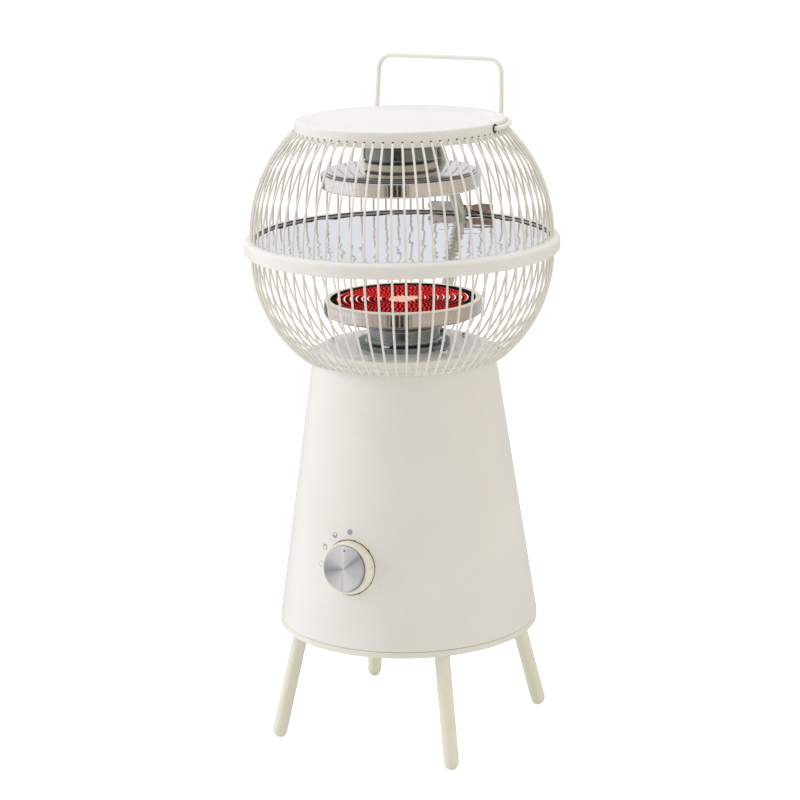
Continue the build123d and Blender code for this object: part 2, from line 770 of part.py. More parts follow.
# Coil: one wire on half circles about two centres, with both ends turned back into the bed
bed_front = pan_back + pan_sheet + bed_thickness
coil_level = bed_front + seat_gap + coil_wire / 2
coil_shift = coil_pitch / 4
coil_radii = [coil_first_radius + coil_pitch / 2 * k for k in range(coil_turns * 2)]
coil_start = coil_first_radius - coil_shift
coil_stop = coil_radii[-1] + coil_shift


def tail_arc(x, way):
    level = coil_level - coil_tail_bend
    mid = coil_tail_bend * sin(radians(45))
    return ((x, 0, coil_level), (x, mid * way, level + mid), (x, coil_tail_bend * way, level))


with BuildPart(mode=Mode.PRIVATE) as coil:
    with BuildLine() as coil_line:
        inner = tail_arc(coil_start, -1)
        Line((coil_start, -coil_tail_bend, inner[2][2] - coil_tail), inner[2])
        ThreePointArc(inner[2], inner[1], inner[0])
        for k, radius in enumerate(coil_radii):
            way = 1 if k % 2 == 0 else -1
            centre = -coil_shift * way
            ThreePointArc(
                (centre + radius * way, 0, coil_level),
                (centre, radius * way, coil_level),
                (centre - radius * way, 0, coil_level),
            )
        outer = tail_arc(coil_stop, 1)
        ThreePointArc(outer[0], outer[1], outer[2])
        Line(outer[2], (coil_stop, coil_tail_bend, outer[2][2] - coil_tail))
    coil_path = Wire(coil_line.edges())
    with BuildSketch(Plane(origin=coil_path @ 0, z_dir=coil_path % 0)):
        Circle(coil_wire / 2)
    sweep(path=coil_path)

# Least gap of the coil to itself, on points along its middle line at one level
coil_points = []
for k, radius in enumerate(coil_radii):
    way = 1 if k % 2 == 0 else -1
    for step in range(60):
        turn = pi * step / 60
        coil_points.append((k, -coil_shift * way + radius * way * cos(turn), radius * way * sin(turn)))
coil_gap = min(
    sqrt((ax - bx) ** 2 + (ay - by) ** 2) - coil_wire
    for ka, ax, ay in coil_points
    for kb, bx, by in coil_points
    if kb >= ka + 2
)
print("least gap of the coil to itself", round(coil_gap, 2))

with BuildPart(mode=Mode.PRIVATE) as insulation_bed:
    with BuildSketch(Plane.XY.offset(pan_back + pan_sheet)):
        Circle(bore_radius - seat_gap)
        with Locations((coil_start, -coil_tail_bend), (coil_stop, coil_tail_bend)):
            Circle(coil_wire / 2 + hole_gap, mode=Mode.SUBTRACT)
    extrude(amount=bed_thickness)

with BuildPart(mode=Mode.PRIVATE) as glass:
    with BuildSketch(Plane.XY.offset(glass_back)):
        Circle(bezel_inner_radius - seat_gap)
    extrude(amount=glass_thickness)

unit_pieces = {
    "stand": stand,
    "stand_screws": stand_screws,
    "spacer_large": spacer_large,
    "spacer_small": spacer_small,
    "pan": pan,
    "insulation_bed": insulation_bed,
    "insulation_ring": insulation_ring,
    "coil": coil,
    "glass": glass,
}
unit_places = {
    "lower": Location((0, 0, floor_top)),
    "upper": Location((0, 0, unit_ceiling), (180, 0, 0)),
}
for side, place in unit_places.items():
    for name, piece in unit_pieces.items():
        with BuildPart() as placed:
            with Locations(place):
                add(piece.part)
        write(placed, f"{side}_{name}")

# Equator ring: closed hollow section with two inner ledges for the mirror discs
disc_edge = ring_inner_radius - disc_gap
upper_disc_top = ring_top - disc_below_rim
lower_disc_bottom = ring_bottom + disc_below_rim
upper_ledge_top = upper_disc_top - disc_sheet
lower_ledge_bottom = lower_disc_bottom + disc_sheet
ledge_middle = ring_inner_radius - ring_ledge_width / 2
with BuildPart() as equator_ring:
    with BuildSketch(Plane.XZ) as section:
        with Locations(((ring_inner_radius + ring_radius) / 2, ring_height_mid)):
            Rectangle(ring_radius - ring_inner_radius, ring_height)
        outer_corners = section.vertices().sort_by(Axis.X)[-2:]
        fillet(outer_corners.sort_by(Axis.Y)[-1], ring_top_round)
        outer_corners = section.vertices().filter_by_position(Axis.Y, ring_bottom - 1, ring_bottom + 1)
        fillet(outer_corners.sort_by(Axis.X)[-1], ring_bottom_round)
        offset(amount=-ring_sheet, mode=Mode.SUBTRACT)
        with Locations((ledge_middle, upper_ledge_top - ring_ledge_sheet / 2)):
            Rectangle(ring_ledge_width, ring_ledge_sheet)
        with Locations((ledge_middle, lower_ledge_bottom + ring_ledge_sheet / 2)):
            Rectangle(ring_ledge_width, ring_ledge_sheet)
    revolve(axis=Axis.Z)
    for level in (ring_top - ring_sheet, ring_bottom):
        with BuildSketch(Plane.XY.offset(level)):
            with PolarLocations(wire_equator_radius, wire_count, start_angle=-90):
                Circle(wire_hole)
        extrude(amount=ring_sheet, mode=Mode.SUBTRACT)
    with BuildSketch(Plane.XY.offset(lower_ledge_bottom)):
        with PolarLocations(ledge_middle, rivet_count):
            Circle(rivet_diameter / 2 + running_gap)
    extrude(amount=ring_ledge_sheet, mode=Mode.SUBTRACT)
write(equator_ring, "equator_ring")

with BuildPart() as upper_reflector_disc:
    with BuildSketch(Plane.XY.offset(upper_disc_top)):
        Circle(disc_edge)
    extrude(amount=-disc_sheet)
    add(tube_hole, mode=Mode.SUBTRACT)
write(upper_reflector_disc, "upper_reflector_disc")

with BuildPart() as lower_reflector_disc:
    with BuildSketch(Plane.XY.offset(lower_disc_bottom)):
        Circle(disc_edge)
        with PolarLocations(ledge_middle, rivet_count):
            Circle(rivet_diameter / 2 + running_gap, mode=Mode.SUBTRACT)
    extrude(amount=disc_sheet)
    add(tube_hole, mode=Mode.SUBTRACT)
write(lower_reflector_disc, "lower_reflector_disc")

# Rivets that hold the lower disc up against its ledge
rivet_top = lower_ledge_bottom + ring_ledge_sheet
with BuildPart() as disc_rivets:
    for level, size, length in (
        (lower_disc_bottom - rivet_head_height, rivet_head, rivet_head_height),
        (lower_disc_bottom, rivet_diameter, rivet_top - lower_disc_bottom),
        (rivet_top, rivet_head, rivet_head_height),
    ):
        with BuildSketch(Plane.XY.offset(level)):
            with PolarLocations(ledge_middle, rivet_count):
                Circle(size / 2)
        extrude(amount=length)
write(disc_rivets, "disc_rivets")

# Cage wires: out of the ring, round the globe, then bent straight in to their holes
def cage_wires(way, arc_radius, bend_radius, hole_height, end_radius):
    edge = ring_top if way > 0 else ring_bottom
    arc_level = edge + arc_start * way
    reach = abs(hole_height - arc_level)
    turn = degrees(asin((reach - bend_radius) / (arc_radius - bend_radius)))
    with BuildPart(mode=Mode.PRIVATE) as wires:
        with BuildLine(Plane.XZ) as wire_line:
            Line((wire_equator_radius, edge - wire_in_ring * way), (wire_equator_radius, arc_level))
            arc = JernArc((wire_equator_radius, arc_level), (0, way), arc_radius, turn * way)
            bend = JernArc(arc @ 1, arc % 1, bend_radius, (90 - turn) * way)
            Line(bend @ 1, (end_radius, hole_height))
        path = Wire(wire_line.edges())
        with BuildPart(mode=Mode.PRIVATE) as single:
            with BuildSketch(Plane(origin=path @ 0, z_dir=path % 0)):
                Circle(wire_diameter / 2)
            sweep(path=path)
        with PolarLocations(0, wire_count, start_angle=-90):
            add(single.part)
    return wires.part


with BuildPart() as upper_cage_wires:
    end_radius = lid_radius - wire_through
    add(cage_wires(1, upper_arc_radius, upper_bend_radius, upper_hole_height, end_radius))
write(upper_cage_wires, "upper_cage_wires")

with BuildPart() as lower_cage_wires:
    end_radius = floor_radius - wire_through
    add(cage_wires(-1, lower_arc_radius, lower_bend_radius, floor_wire_height, end_radius))
write(lower_cage_wires, "lower_cage_wires")

# Saddle on the ring that holds the conduit from behind
saddle_radius = ring_inner_radius + seat_gap
seat_centre = tube_radius_at(ring_top)
seat_outer = tube_diameter / 2 + running_gap + saddle_sheet
with BuildPart() as tube_saddle:
    with BuildSketch(Plane.XY.offset(ring_top)):
        Circle(saddle_radius + saddle_sheet)
        Circle(saddle_radius, mode=Mode.SUBTRACT)
        with Locations(((saddle_right - saddle_left) / 2, saddle_radius)):
            Rectangle(saddle_left + saddle_right, saddle_radius, mode=Mode.INTERSECT)
        with Locations((0, seat_centre)):
            Circle(seat_outer)
        for way in (-1, 1):
            with BuildLine():
                Polyline(
                    (way * (seat_outer - saddle_sheet), seat_centre),
                    (way * seat_outer, seat_centre),
                    (way * (seat_outer * 2 + saddle_sheet), saddle_radius),
                    (way * seat_outer * 2, saddle_radius),
                    close=True,
                )
            make_face()
        with Locations((0, seat_centre - seat_outer)):
            Rectangle(seat_outer * 4, seat_outer * 2, mode=Mode.SUBTRACT)
    extrude(amount=saddle_height)
    add(tube_solid(tube_diameter / 2 + running_gap), mode=Mode.SUBTRACT)
write(tube_saddle, "tube_saddle")

# Top cover: lid and skirt in one, with wire holes, pivot holes, stops and screw posts
stop_height = handle_pivot_height - handle_rod / 2 - seat_gap - stop_diameter / 2
lid_post_spots = [spot(angle, lid_post_radius) for angle in lid_post_angles]
stop_angles = (stop_angle, 180 - stop_angle)
with BuildPart() as top_cover:
    with BuildSketch(Plane.XZ) as section:
        with BuildLine():
            Polyline(
                (0, lid_top - lid_dish_depth),
                (lid_dish_radius - lid_dish_depth, lid_top - lid_dish_depth),
                (lid_dish_radius, lid_top),
                (lid_radius, lid_top),
                (lid_radius, lid_bottom),
                (lid_radius - lid_sheet, lid_bottom),
                (lid_radius - lid_sheet, lid_top - lid_sheet),
                (lid_dish_radius, lid_top - lid_sheet),
                (lid_dish_radius - lid_dish_depth, lid_top - lid_dish_depth - lid_sheet),
                (0, lid_top - lid_dish_depth - lid_sheet),
                close=True,
            )
        make_face()
        top_corners = section.vertices().filter_by_position(Axis.Y, lid_top - 0.1, lid_top + 0.1)
        fillet(top_corners.sort_by(Axis.X)[-1], lid_edge_round)
    revolve(axis=Axis.Z)
    with PolarLocations(lid_radius - lid_sheet, wire_count, start_angle=-90):
        with Locations(Location((0, 0, upper_hole_height), (0, 90, 0))):
            Cylinder(wire_hole, lid_sheet * 4, mode=Mode.SUBTRACT)
    with Locations(Location((0, 0, handle_pivot_height), (0, 90, 0))):
        Cylinder(bush_outer_diameter / 2 + running_gap, lid_radius * 3, mode=Mode.SUBTRACT)
    with around(lid_radius + stop_length / 2 - lid_sheet / 2, stop_angles):
        with Locations(Location((0, 0, stop_height), (0, 90, 0))):
            Cylinder(stop_diameter / 2, stop_length + lid_sheet)
    post_height = lid_top - lid_dish_depth - lid_sheet / 2 - inner_plate_top
    with BuildSketch(Plane.XY.offset(inner_plate_top)):
        with Locations(lid_post_spots):
            Circle(lid_post_diameter / 2)
    extrude(amount=post_height)
    with BuildSketch(Plane.XY.offset(inner_plate_top)):
        with Locations(lid_post_spots):
            Circle(lid_screw_diameter / 2 + running_gap)
    extrude(amount=post_height - lid_sheet, mode=Mode.SUBTRACT)
write(top_cover, "top_cover")

# Inner plate under the lid: its sunk middle carries the upper radiant unit
inner_radius = lid_radius - lid_sheet - inner_plate_gap
boss_inner = inner_plate_boss_radius - inner_plate_sheet
with BuildPart() as top_inner_plate:
    with BuildSketch(Plane.XZ):
        with BuildLine():
            Polyline(
                (spacer_bore / 2, unit_ceiling),
                (inner_plate_boss_radius, unit_ceiling),
                (inner_plate_boss_radius, inner_plate_top - inner_plate_sheet),
                (inner_radius, inner_plate_top - inner_plate_sheet),
                (inner_radius, inner_plate_top),
                (boss_inner, inner_plate_top),
                (boss_inner, unit_ceiling + inner_plate_sheet),
                (spacer_bore / 2, unit_ceiling + inner_plate_sheet),
                close=True,
            )
        make_face()
    revolve(axis=Axis.Z)
    with BuildSketch(Plane.XY.offset(unit_ceiling)):
        with Locations([(x, -y) for x, y in cup_screw_spots]):
            Circle(cup_screw_diameter / 2 + running_gap)
    extrude(amount=inner_plate_sheet, mode=Mode.SUBTRACT)
    with BuildSketch(Plane.XY.offset(inner_plate_top)):
        with Locations(lid_post_spots):
            Circle(lid_screw_diameter / 2 + hole_gap)
    extrude(amount=-inner_plate_sheet, mode=Mode.SUBTRACT)
    add(tube_hole, mode=Mode.SUBTRACT)
write(top_inner_plate, "top_inner_plate")

with BuildPart() as top_plate_screws:
    under = inner_plate_top - inner_plate_sheet
    add(screw_at(lid_post_spots, under, -1, lid_screw_head, lid_screw_diameter, lid_screw_length))
write(top_plate_screws, "top_plate_screws")

# Thermal cut-out on the inner plate
with BuildPart() as thermal_cutout:
    with BuildSketch(Plane.XY.offset(inner_plate_top)):
        with Locations(cutout_place):
            RectangleRounded(cutout_plate[0], cutout_plate[1], 3)
    extrude(amount=cutout_plate[2])
    with BuildSketch(Plane.XY.offset(inner_plate_top)):
        with Locations(cutout_place):
            Circle(cutout_diameter / 2)
    extrude(amount=cutout_height)
write(thermal_cutout, "thermal_cutout")

# Pivot bushes in the skirt
bush_seat = lid_radius + 0.05
with BuildPart() as pivot_bushes:
    for way in (-1, 1):
        with BuildSketch(Plane.YZ.offset(way * (bush_seat - bush_length))):
            with Locations((0, handle_pivot_height)):
                Circle(bush_outer_diameter / 2)
        extrude(amount=way * bush_length)
        with BuildSketch(Plane.YZ.offset(way * bush_seat)):
            with Locations((0, handle_pivot_height)):
                Circle(bush_flange_diameter / 2)
        extrude(amount=way * bush_flange)
    with Locations(Location((0, 0, handle_pivot_height), (0, 90, 0))):
        Cylinder(handle_rod / 2 + running_gap, lid_radius * 3, mode=Mode.SUBTRACT)
write(pivot_bushes, "pivot_bushes")

# Handle: one bent rod; the right half is drawn from its pin to the middle of the bar
arm_radius = lid_radius + handle_gap + handle_rod / 2
pin_inner = bush_seat - bush_length - clip_thickness - running_gap
bend_centre = Vector(sqrt((arm_radius - handle_pivot_bend) ** 2 - handle_pivot_bend**2), handle_pivot_bend, 0)
arm_start = bend_centre * (arm_radius / (arm_radius - handle_pivot_bend))
lift = Vector(0, 0, handle_pivot_height)
leg_spot = Vector(cos(radians(handle_leg_angle)), sin(radians(handle_leg_angle)), 0) * arm_radius + lift
arm_way = Vector(-sin(radians(handle_leg_angle)), cos(radians(handle_leg_angle)), 0)
leg_way = Vector(-tan(radians(handle_narrowing)), tan(radians(handle_lean_back)), 1).normalized()


def turn_towards(start, heading, target, radius):
    side = (target - heading * heading.dot(target)).normalized()
    angle = acos(heading.dot(target))
    centre = start + side * radius
    middle = centre + (heading * sin(angle / 2) - side * cos(angle / 2)) * radius
    end = centre + (heading * sin(angle) - side * cos(angle)) * radius
    return middle, end


foot_middle, leg_start = turn_towards(leg_spot, arm_way, leg_way, handle_foot_round)
corner_rise = turn_towards(Vector(0, 0, 0), leg_way, Vector(-1, 0, 0), handle_corner_round)[1].Z
leg_stop = leg_start + leg_way * ((handle_bar_height - leg_start.Z - corner_rise) / leg_way.Z)
corner_middle, bar_start = turn_towards(leg_stop, leg_way, Vector(-1, 0, 0), handle_corner_round)
arm_turn = radians((handle_leg_angle + degrees(atan2(arm_start.Y, arm_start.X))) / 2)
bend_turn = (atan2(arm_start.Y, arm_start.X) - pi / 2) / 2
bend_middle = bend_centre + Vector(cos(bend_turn), sin(bend_turn), 0) * handle_pivot_bend + lift
with BuildPart(mode=Mode.PRIVATE) as half_handle:
    with BuildLine() as rod_line:
        Line((pin_inner, 0, handle_pivot_height), Vector(bend_centre.X, 0, 0) + lift)
        ThreePointArc(Vector(bend_centre.X, 0, 0) + lift, bend_middle, arm_start + lift)
        arm_middle = Vector(cos(arm_turn), sin(arm_turn), 0) * arm_radius + lift
        ThreePointArc(arm_start + lift, arm_middle, leg_spot)
        ThreePointArc(leg_spot, foot_middle, leg_start)
        Line(leg_start, leg_stop)
        ThreePointArc(leg_stop, corner_middle, bar_start)
        Line(bar_start, (0, bar_start.Y, bar_start.Z))
    rod_path = Wire(rod_line.edges())
    with BuildSketch(Plane(origin=rod_path @ 0, z_dir=rod_path % 0)):
        Circle(handle_rod / 2)
    sweep(path=rod_path)
with BuildPart() as handle:
    add(half_handle.part)
    add(mirror(half_handle.part, about=Plane.YZ, mode=Mode.PRIVATE))
write(handle, "handle")

# Clips on the ends of the pins, inside the lid
with BuildPart() as handle_clips:
    for way in (-1, 1):
        with BuildSketch(Plane.YZ.offset(way * pin_inner)):
            with Locations((0, handle_pivot_height)):
                Circle(clip_diameter / 2)
                Circle(handle_rod / 2, mode=Mode.SUBTRACT)
        extrude(amount=way * clip_thickness)
write(handle_clips, "handle_clips")
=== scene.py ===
# Cylindrical radiant heater: the looks laid over the frame's pieces, with sizes in mm where no
# comment says metres
import math
import bmesh
import bpy
import numpy as np
from mathutils import Matrix, Vector


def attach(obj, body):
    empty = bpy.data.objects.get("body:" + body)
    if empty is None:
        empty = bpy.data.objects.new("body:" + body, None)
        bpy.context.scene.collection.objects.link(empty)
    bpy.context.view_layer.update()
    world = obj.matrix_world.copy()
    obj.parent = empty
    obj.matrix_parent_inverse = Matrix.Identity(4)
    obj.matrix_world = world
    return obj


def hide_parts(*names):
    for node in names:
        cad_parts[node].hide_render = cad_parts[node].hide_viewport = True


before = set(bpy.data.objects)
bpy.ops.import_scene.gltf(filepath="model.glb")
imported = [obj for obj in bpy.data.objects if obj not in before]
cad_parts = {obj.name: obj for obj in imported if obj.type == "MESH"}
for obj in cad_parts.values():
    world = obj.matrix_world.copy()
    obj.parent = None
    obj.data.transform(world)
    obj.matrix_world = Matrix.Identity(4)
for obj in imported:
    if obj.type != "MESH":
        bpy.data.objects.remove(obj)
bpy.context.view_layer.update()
print("frame loaded")

mm = 0.001  # a millimetre in the scene's metres


# Nodes and materials

def linear(hexColour):
    # sRGB hex to linear: ((c + 0.055) / 1.055) to the power 2.4, or c / 12.92 up to 0.04045
    channels = [int(hexColour[i:i + 2], 16) / 255 for i in (1, 3, 5)]
    return [c / 12.92 if c <= 0.04045 else ((c + 0.055) / 1.055) ** 2.4 for c in channels] + [1.0]


def addNode(tree, kind, inputs=None, **settings):
    # one node: its settings, then each input as a link from a socket or as a plain value
    node = tree.nodes.new(kind)
    for key, value in settings.items():
        setattr(node, key, value)
    for key, value in (inputs or {}).items():
        if isinstance(value, bpy.types.NodeSocket):
            tree.links.new(value, node.inputs[key])
        else:
            node.inputs[key].default_value = value
    return node


def setRamp(node, stops):
    # colour stops (position, sRGB hex) of a ramp node
    band = node.color_ramp
    while len(band.elements) < len(stops):
        band.elements.new(0.5)
    for element, (spot, tone) in zip(band.elements, stops):
        element.position = spot
        element.color = linear(tone)


def newMaterial(name):
    material = bpy.data.materials.new(name)
    material.use_nodes = True
    material.node_tree.nodes.clear()
    return material, material.node_tree


def endMaterial(material, tree, sockets):
    # the shader with its sockets linked or set, and the output
    face = addNode(tree, "ShaderNodeBsdfPrincipled", sockets)
    addNode(tree, "ShaderNodeOutputMaterial", {"Surface": face.outputs[0]})
    return material


# Meshes

def mendMesh(mesh, reach=1e-6):
    # joins points that lie on each other at a pole or seam, then points all faces outwards
    work = bmesh.new()
    work.from_mesh(mesh)
    bmesh.ops.remove_doubles(work, verts=work.verts, dist=reach)
    bmesh.ops.recalc_face_normals(work, faces=work.faces)
    work.to_mesh(mesh)
    work.free()


def makeMesh(name, points, faces, material, slot, smoothAngle=35, body="root", uv=None):
    # points in mm become a mesh in metres, smooth except at edges sharper than smoothAngle
    mesh = bpy.data.meshes.new(name)
    mesh.from_pydata((np.asarray(points, float) * mm).tolist(), [], [list(face) for face in faces])
    mesh.shade_smooth()
    mesh.set_sharp_from_angle(angle=math.radians(smoothAngle))
    if uv is not None:
        layer = mesh.uv_layers.new(name="flow")
        corners = np.zeros(len(mesh.loops), np.int32)
        mesh.loops.foreach_get("vertex_index", corners)
        layer.data.foreach_set("uv", np.asarray(uv, np.float32)[corners].ravel())
    mesh.materials.append(material)
    mendMesh(mesh)
    piece = bpy.data.objects.new(name, mesh)
    bpy.context.collection.objects.link(piece)
    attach(piece, body)
    return piece


def reshape(piece, change):
    # hands a mesh's points to change as one array in metres, and puts them back as change left them
    flat = np.zeros(len(piece.data.vertices) * 3)
    piece.data.vertices.foreach_get("co", flat)
    change(flat.reshape(-1, 3))
    piece.data.vertices.foreach_set("co", flat)
    piece.data.update()


def gridFaces(rows, columns, wrapRows=False, wrapColumns=False):
    # quads of a grid of rows x columns points; a wrapped direction joins its last line to its first
    i = np.arange(rows if wrapRows else rows - 1)[:, None]
    j = np.arange(columns if wrapColumns else columns - 1)[None, :]
    a = i * columns + j
    b = i * columns + (j + 1) % columns
    c = ((i + 1) % rows) * columns + (j + 1) % columns
    d = ((i + 1) % rows) * columns + j
    return np.stack([a, b, c, d], -1).reshape(-1, 4)


def repeatFaces(one, block, count):
    # the faces of one shape of block points, again for each of count shapes that follow each other
    return (one[None] + (np.arange(count) * block)[:, None, None]).reshape(-1, 4)


def softCorners(corners, steps):
    # (r, z, rounding) corners: each becomes an arc that touches both its runs, radius = rounding
    out = []
    count = len(corners)
    for k in range(count):
        p = np.array(corners[k][:2], float)
        radius = corners[k][2] if len(corners[k]) > 2 else 0.0
        if radius <= 0:
            out.append(p)
            continue
        before = np.array(corners[k - 1][:2], float) - p
        after = np.array(corners[(k + 1) % count][:2], float) - p
        u, v = before / np.linalg.norm(before), after / np.linalg.norm(after)
        half = math.acos(np.clip(np.dot(u, v), -1, 1)) / 2
        reach = radius / math.tan(half)
        centre = p + (u + v) / np.linalg.norm(u + v) * radius / math.sin(half)
        first, last = p + u * reach - centre, p + v * reach - centre
        swing = math.pi - 2 * half
        for t in np.linspace(0, 1, steps + 1):
            turned = first * math.sin((1 - t) * swing) + last * math.sin(t * swing)
            out.append(centre + turned / math.sin(swing))
    return np.array(out)


def lathe(name, corners, material, turns, closed=True, steps=6, axis=None, shape=None, **more):
    # point(phi, s) = (r(s) cos phi, r(s) sin phi, z(s)), turned into axis = (origin, x, y, z);
    # shape may change r by phi and z
    profile = softCorners(corners, steps) if closed else np.array(corners, float)
    phi = np.linspace(0, 2 * np.pi, turns, endpoint=False)[:, None]
    r, z = profile[None, :, 0], profile[None, :, 1]
    if shape is not None:
        r = shape(phi, r, z)
    local = np.stack([r * np.cos(phi), r * np.sin(phi), z + 0 * phi], -1)
    if axis is not None:
        origin, ex, ey, ez = (np.array(a, float) for a in axis)
        local = origin + local[..., :1] * ex + local[..., 1:2] * ey + local[..., 2:] * ez
    faces = gridFaces(turns, profile.shape[0], True, closed)
    return makeMesh(name, local.reshape(-1, 3), faces, material, **more)


def planarTubes(path, radius, angles, sides):
    # tube round a path (r, z) in an upright plane, repeated at each angle phi:
    # point = path + radius (cos a * inPlane + sin a * (-sin phi, cos phi, 0))
    along = np.gradient(path, axis=0)
    along /= np.linalg.norm(along, axis=1)[:, None]
    across = np.stack([along[:, 1], -along[:, 0]], -1)
    a = np.linspace(0, 2 * np.pi, sides, endpoint=False)
    rz = path[:, None, :] + radius * np.cos(a)[None, :, None] * across[:, None, :]
    side = radius * np.sin(a)[None, :] + 0 * rz[..., 0]
    phi = np.asarray(angles, float)[:, None, None]
    x = rz[..., 0] * np.cos(phi) - side * np.sin(phi)
    y = rz[..., 0] * np.sin(phi) + side * np.cos(phi)
    points = np.stack([x, y, rz[..., 1] + 0 * phi], -1).reshape(-1, 3)
    block = len(path) * sides
    faces = repeatFaces(gridFaces(len(path), sides, False, True), block, len(angles)).tolist()
    for first in range(0, len(angles) * block, block):
        faces.append([first + s for s in range(sides)])
        faces.append([first + block - 1 - s for s in range(sides)])
    return points, faces


def standingStrip(path, thickness, low, high):
    # a strip on edge along a level path: path -+ thickness / 2 * (-dy, dx) at the heights low and high,
    # where (dx, dy) is the path's direction, with a face across each end
    way = np.gradient(path, axis=0)
    way /= np.linalg.norm(way, axis=1)[:, None]
    half = np.stack([-way[:, 1], way[:, 0]], -1) * thickness / 2
    edges = [(-half, low), (half, low), (half, high), (-half, high)]
    rings = [np.column_stack([path + offset, height + 0 * path[:, 0]]) for offset, height in edges]
    last = (len(path) - 1) * 4
    ends = [[0, 1, 2, 3], [last + 3, last + 2, last + 1, last]]
    return np.stack(rings, 1).reshape(-1, 3), gridFaces(len(path), 4, False, True).tolist() + ends


def arcPoints(centre, radius, start, stop, steps):
    # centre + radius (cos a, sin a) for a from start to stop, in degrees
    a = np.radians(np.linspace(start, stop, steps))
    return np.stack([centre[0] + radius * np.cos(a), centre[1] + radius * np.sin(a)], -1)


# Camera, world, floor and lamps

# distance, height, lens and sensor in mm, angles in degrees, clip in metres
cameraLook = {
    "distance": 2488.7, "height": 983.6, "azimuth": 28.8, "down": 14.05, "roll": -1.11, "yaw": -0.12,
    "lens": 108.9, "sensor": 36, "clip": (0.05, 50),
}


def makeCamera(look):
    # the camera stands on azimuth at distance and height, looks down, then rolls about its own line
    az, down, roll, yaw = (math.radians(look[k]) for k in ("azimuth", "down", "roll", "yaw"))
    ahead = np.array([-math.sin(az), math.cos(az), 0.0])
    right = np.array([math.cos(az), math.sin(az), 0.0])
    up = np.array([0.0, 0.0, 1.0])
    level = ahead * math.cos(yaw) + right * math.sin(yaw)
    side = right * math.cos(yaw) - ahead * math.sin(yaw)
    view = level * math.cos(down) - up * math.sin(down)
    head = up * math.cos(down) + level * math.sin(down)
    data = bpy.data.cameras.new("camera")
    data.sensor_width = look["sensor"]
    data.lens = look["lens"]
    data.clip_start, data.clip_end = look["clip"]
    camera = bpy.data.objects.new("camera", data)
    bpy.context.collection.objects.link(camera)
    place = np.eye(4)
    place[:3, 0] = side * math.cos(roll) + head * math.sin(roll)
    place[:3, 1] = head * math.cos(roll) - side * math.sin(roll)
    place[:3, 2] = -view
    place[:3, 3] = (up * look["height"] - ahead * look["distance"]) * mm
    camera.matrix_world = Matrix(place.tolist())
    bpy.context.scene.camera = camera


makeCamera(cameraLook)
bpy.context.scene.view_settings.view_transform = "Standard"
print("camera placed")


studio = {
    "ambient": 0.70, "ambientTone": "#FFFAF1", "upperGloss": "#DADCE1", "glossStrength": 1.1,
    # the heights of a direction between which the tones round the room turn into the upper one
    "horizon": (-0.06, 0.1),
    # tones that polished metal sees round the room below eye level, by degrees from the camera's side
    "roundGloss": [
        (-180, "#C4C6CE"), (-156, "#55504C"), (-146, "#6A6664"), (-138, "#F6F6FA"), (-80, "#F2F2F4"),
        (-58, "#D2CAC3"), (-44, "#BDB3AA"), (-26, "#B4A89E"), (-18, "#3A332F"), (6, "#38322E"),
        (14, "#C8BCAE"), (60, "#C6BAAC"), (110, "#BDB1A3"), (132, "#C0BCBA"), (148, "#C8CAD2"),
        (180, "#C4C6CE")],
    # matt paper on the floor: its half width in metres, its linear tone, and the light that the camera's
    # rays see on top of it
    "floorHalf": 9, "paper": (0.9, 0.9, 0.9, 1), "floorGlow": 0.5,
}


def seesBackdrop(tree, rays):
    # 1 for the rays that see the backdrop as a picture: straight from the camera or through glass
    return addNode(tree, "ShaderNodeMath", {0: rays.outputs["Is Camera Ray"],
                                            1: rays.outputs["Is Transmission Ray"]}, operation="MAXIMUM")


def makeWorld(look):
    # plain white to the camera, a soft level for light, and for gloss a room of tones: a ramp over the
    # direction's azimuth below eye level that turns into one cool tone above it
    world = bpy.data.worlds.new("studio")
    bpy.context.scene.world = world
    world.use_nodes = True
    tree = world.node_tree
    tree.nodes.clear()
    rays = addNode(tree, "ShaderNodeLightPath")
    seen = seesBackdrop(tree, rays)
    direction = addNode(tree, "ShaderNodeTexCoord")
    turned = addNode(tree, "ShaderNodeVectorRotate", {"Vector": direction.outputs["Generated"],
                                                      "Angle": -math.radians(cameraLook["azimuth"])},
                     rotation_type="Z_AXIS")
    parts = addNode(tree, "ShaderNodeSeparateXYZ", {0: turned.outputs[0]})
    front = addNode(tree, "ShaderNodeMath", {0: parts.outputs["Y"], 1: -1.0}, operation="MULTIPLY")
    azimuth = addNode(tree, "ShaderNodeMath", {0: parts.outputs["X"], 1: front.outputs[0]},
                      operation="ARCTAN2")
    along = addNode(tree, "ShaderNodeMapRange", {"Value": azimuth.outputs[0], "From Min": -math.pi,
                                                 "From Max": math.pi})
    ramp = addNode(tree, "ShaderNodeValToRGB", {0: along.outputs[0]})
    setRamp(ramp, [((degree + 180) / 360, tone) for degree, tone in look["roundGloss"]])
    lowest, highest = look["horizon"]
    height = addNode(tree, "ShaderNodeMapRange", {"Value": parts.outputs["Z"], "From Min": lowest,
                                                  "From Max": highest})
    tone = addNode(tree, "ShaderNodeMix", {0: height.outputs[0], 6: ramp.outputs[0],
                                           7: linear(look["upperGloss"])}, data_type="RGBA")
    soft = addNode(tree, "ShaderNodeBackground", {"Color": linear(look["ambientTone"]),
                                                  "Strength": look["ambient"]})
    gloss = addNode(tree, "ShaderNodeBackground", {"Color": tone.outputs[2],
                                                   "Strength": look["glossStrength"]})
    white = addNode(tree, "ShaderNodeBackground", {"Color": (1, 1, 1, 1), "Strength": 1.0})
    lit = addNode(tree, "ShaderNodeMixShader", {0: rays.outputs["Is Glossy Ray"], 1: soft.outputs[0],
                                                2: gloss.outputs[0]})
    both = addNode(tree, "ShaderNodeMixShader", {0: seen.outputs[0], 1: lit.outputs[0], 2: white.outputs[0]})
    addNode(tree, "ShaderNodeOutputWorld", {"Surface": both.outputs[0]})


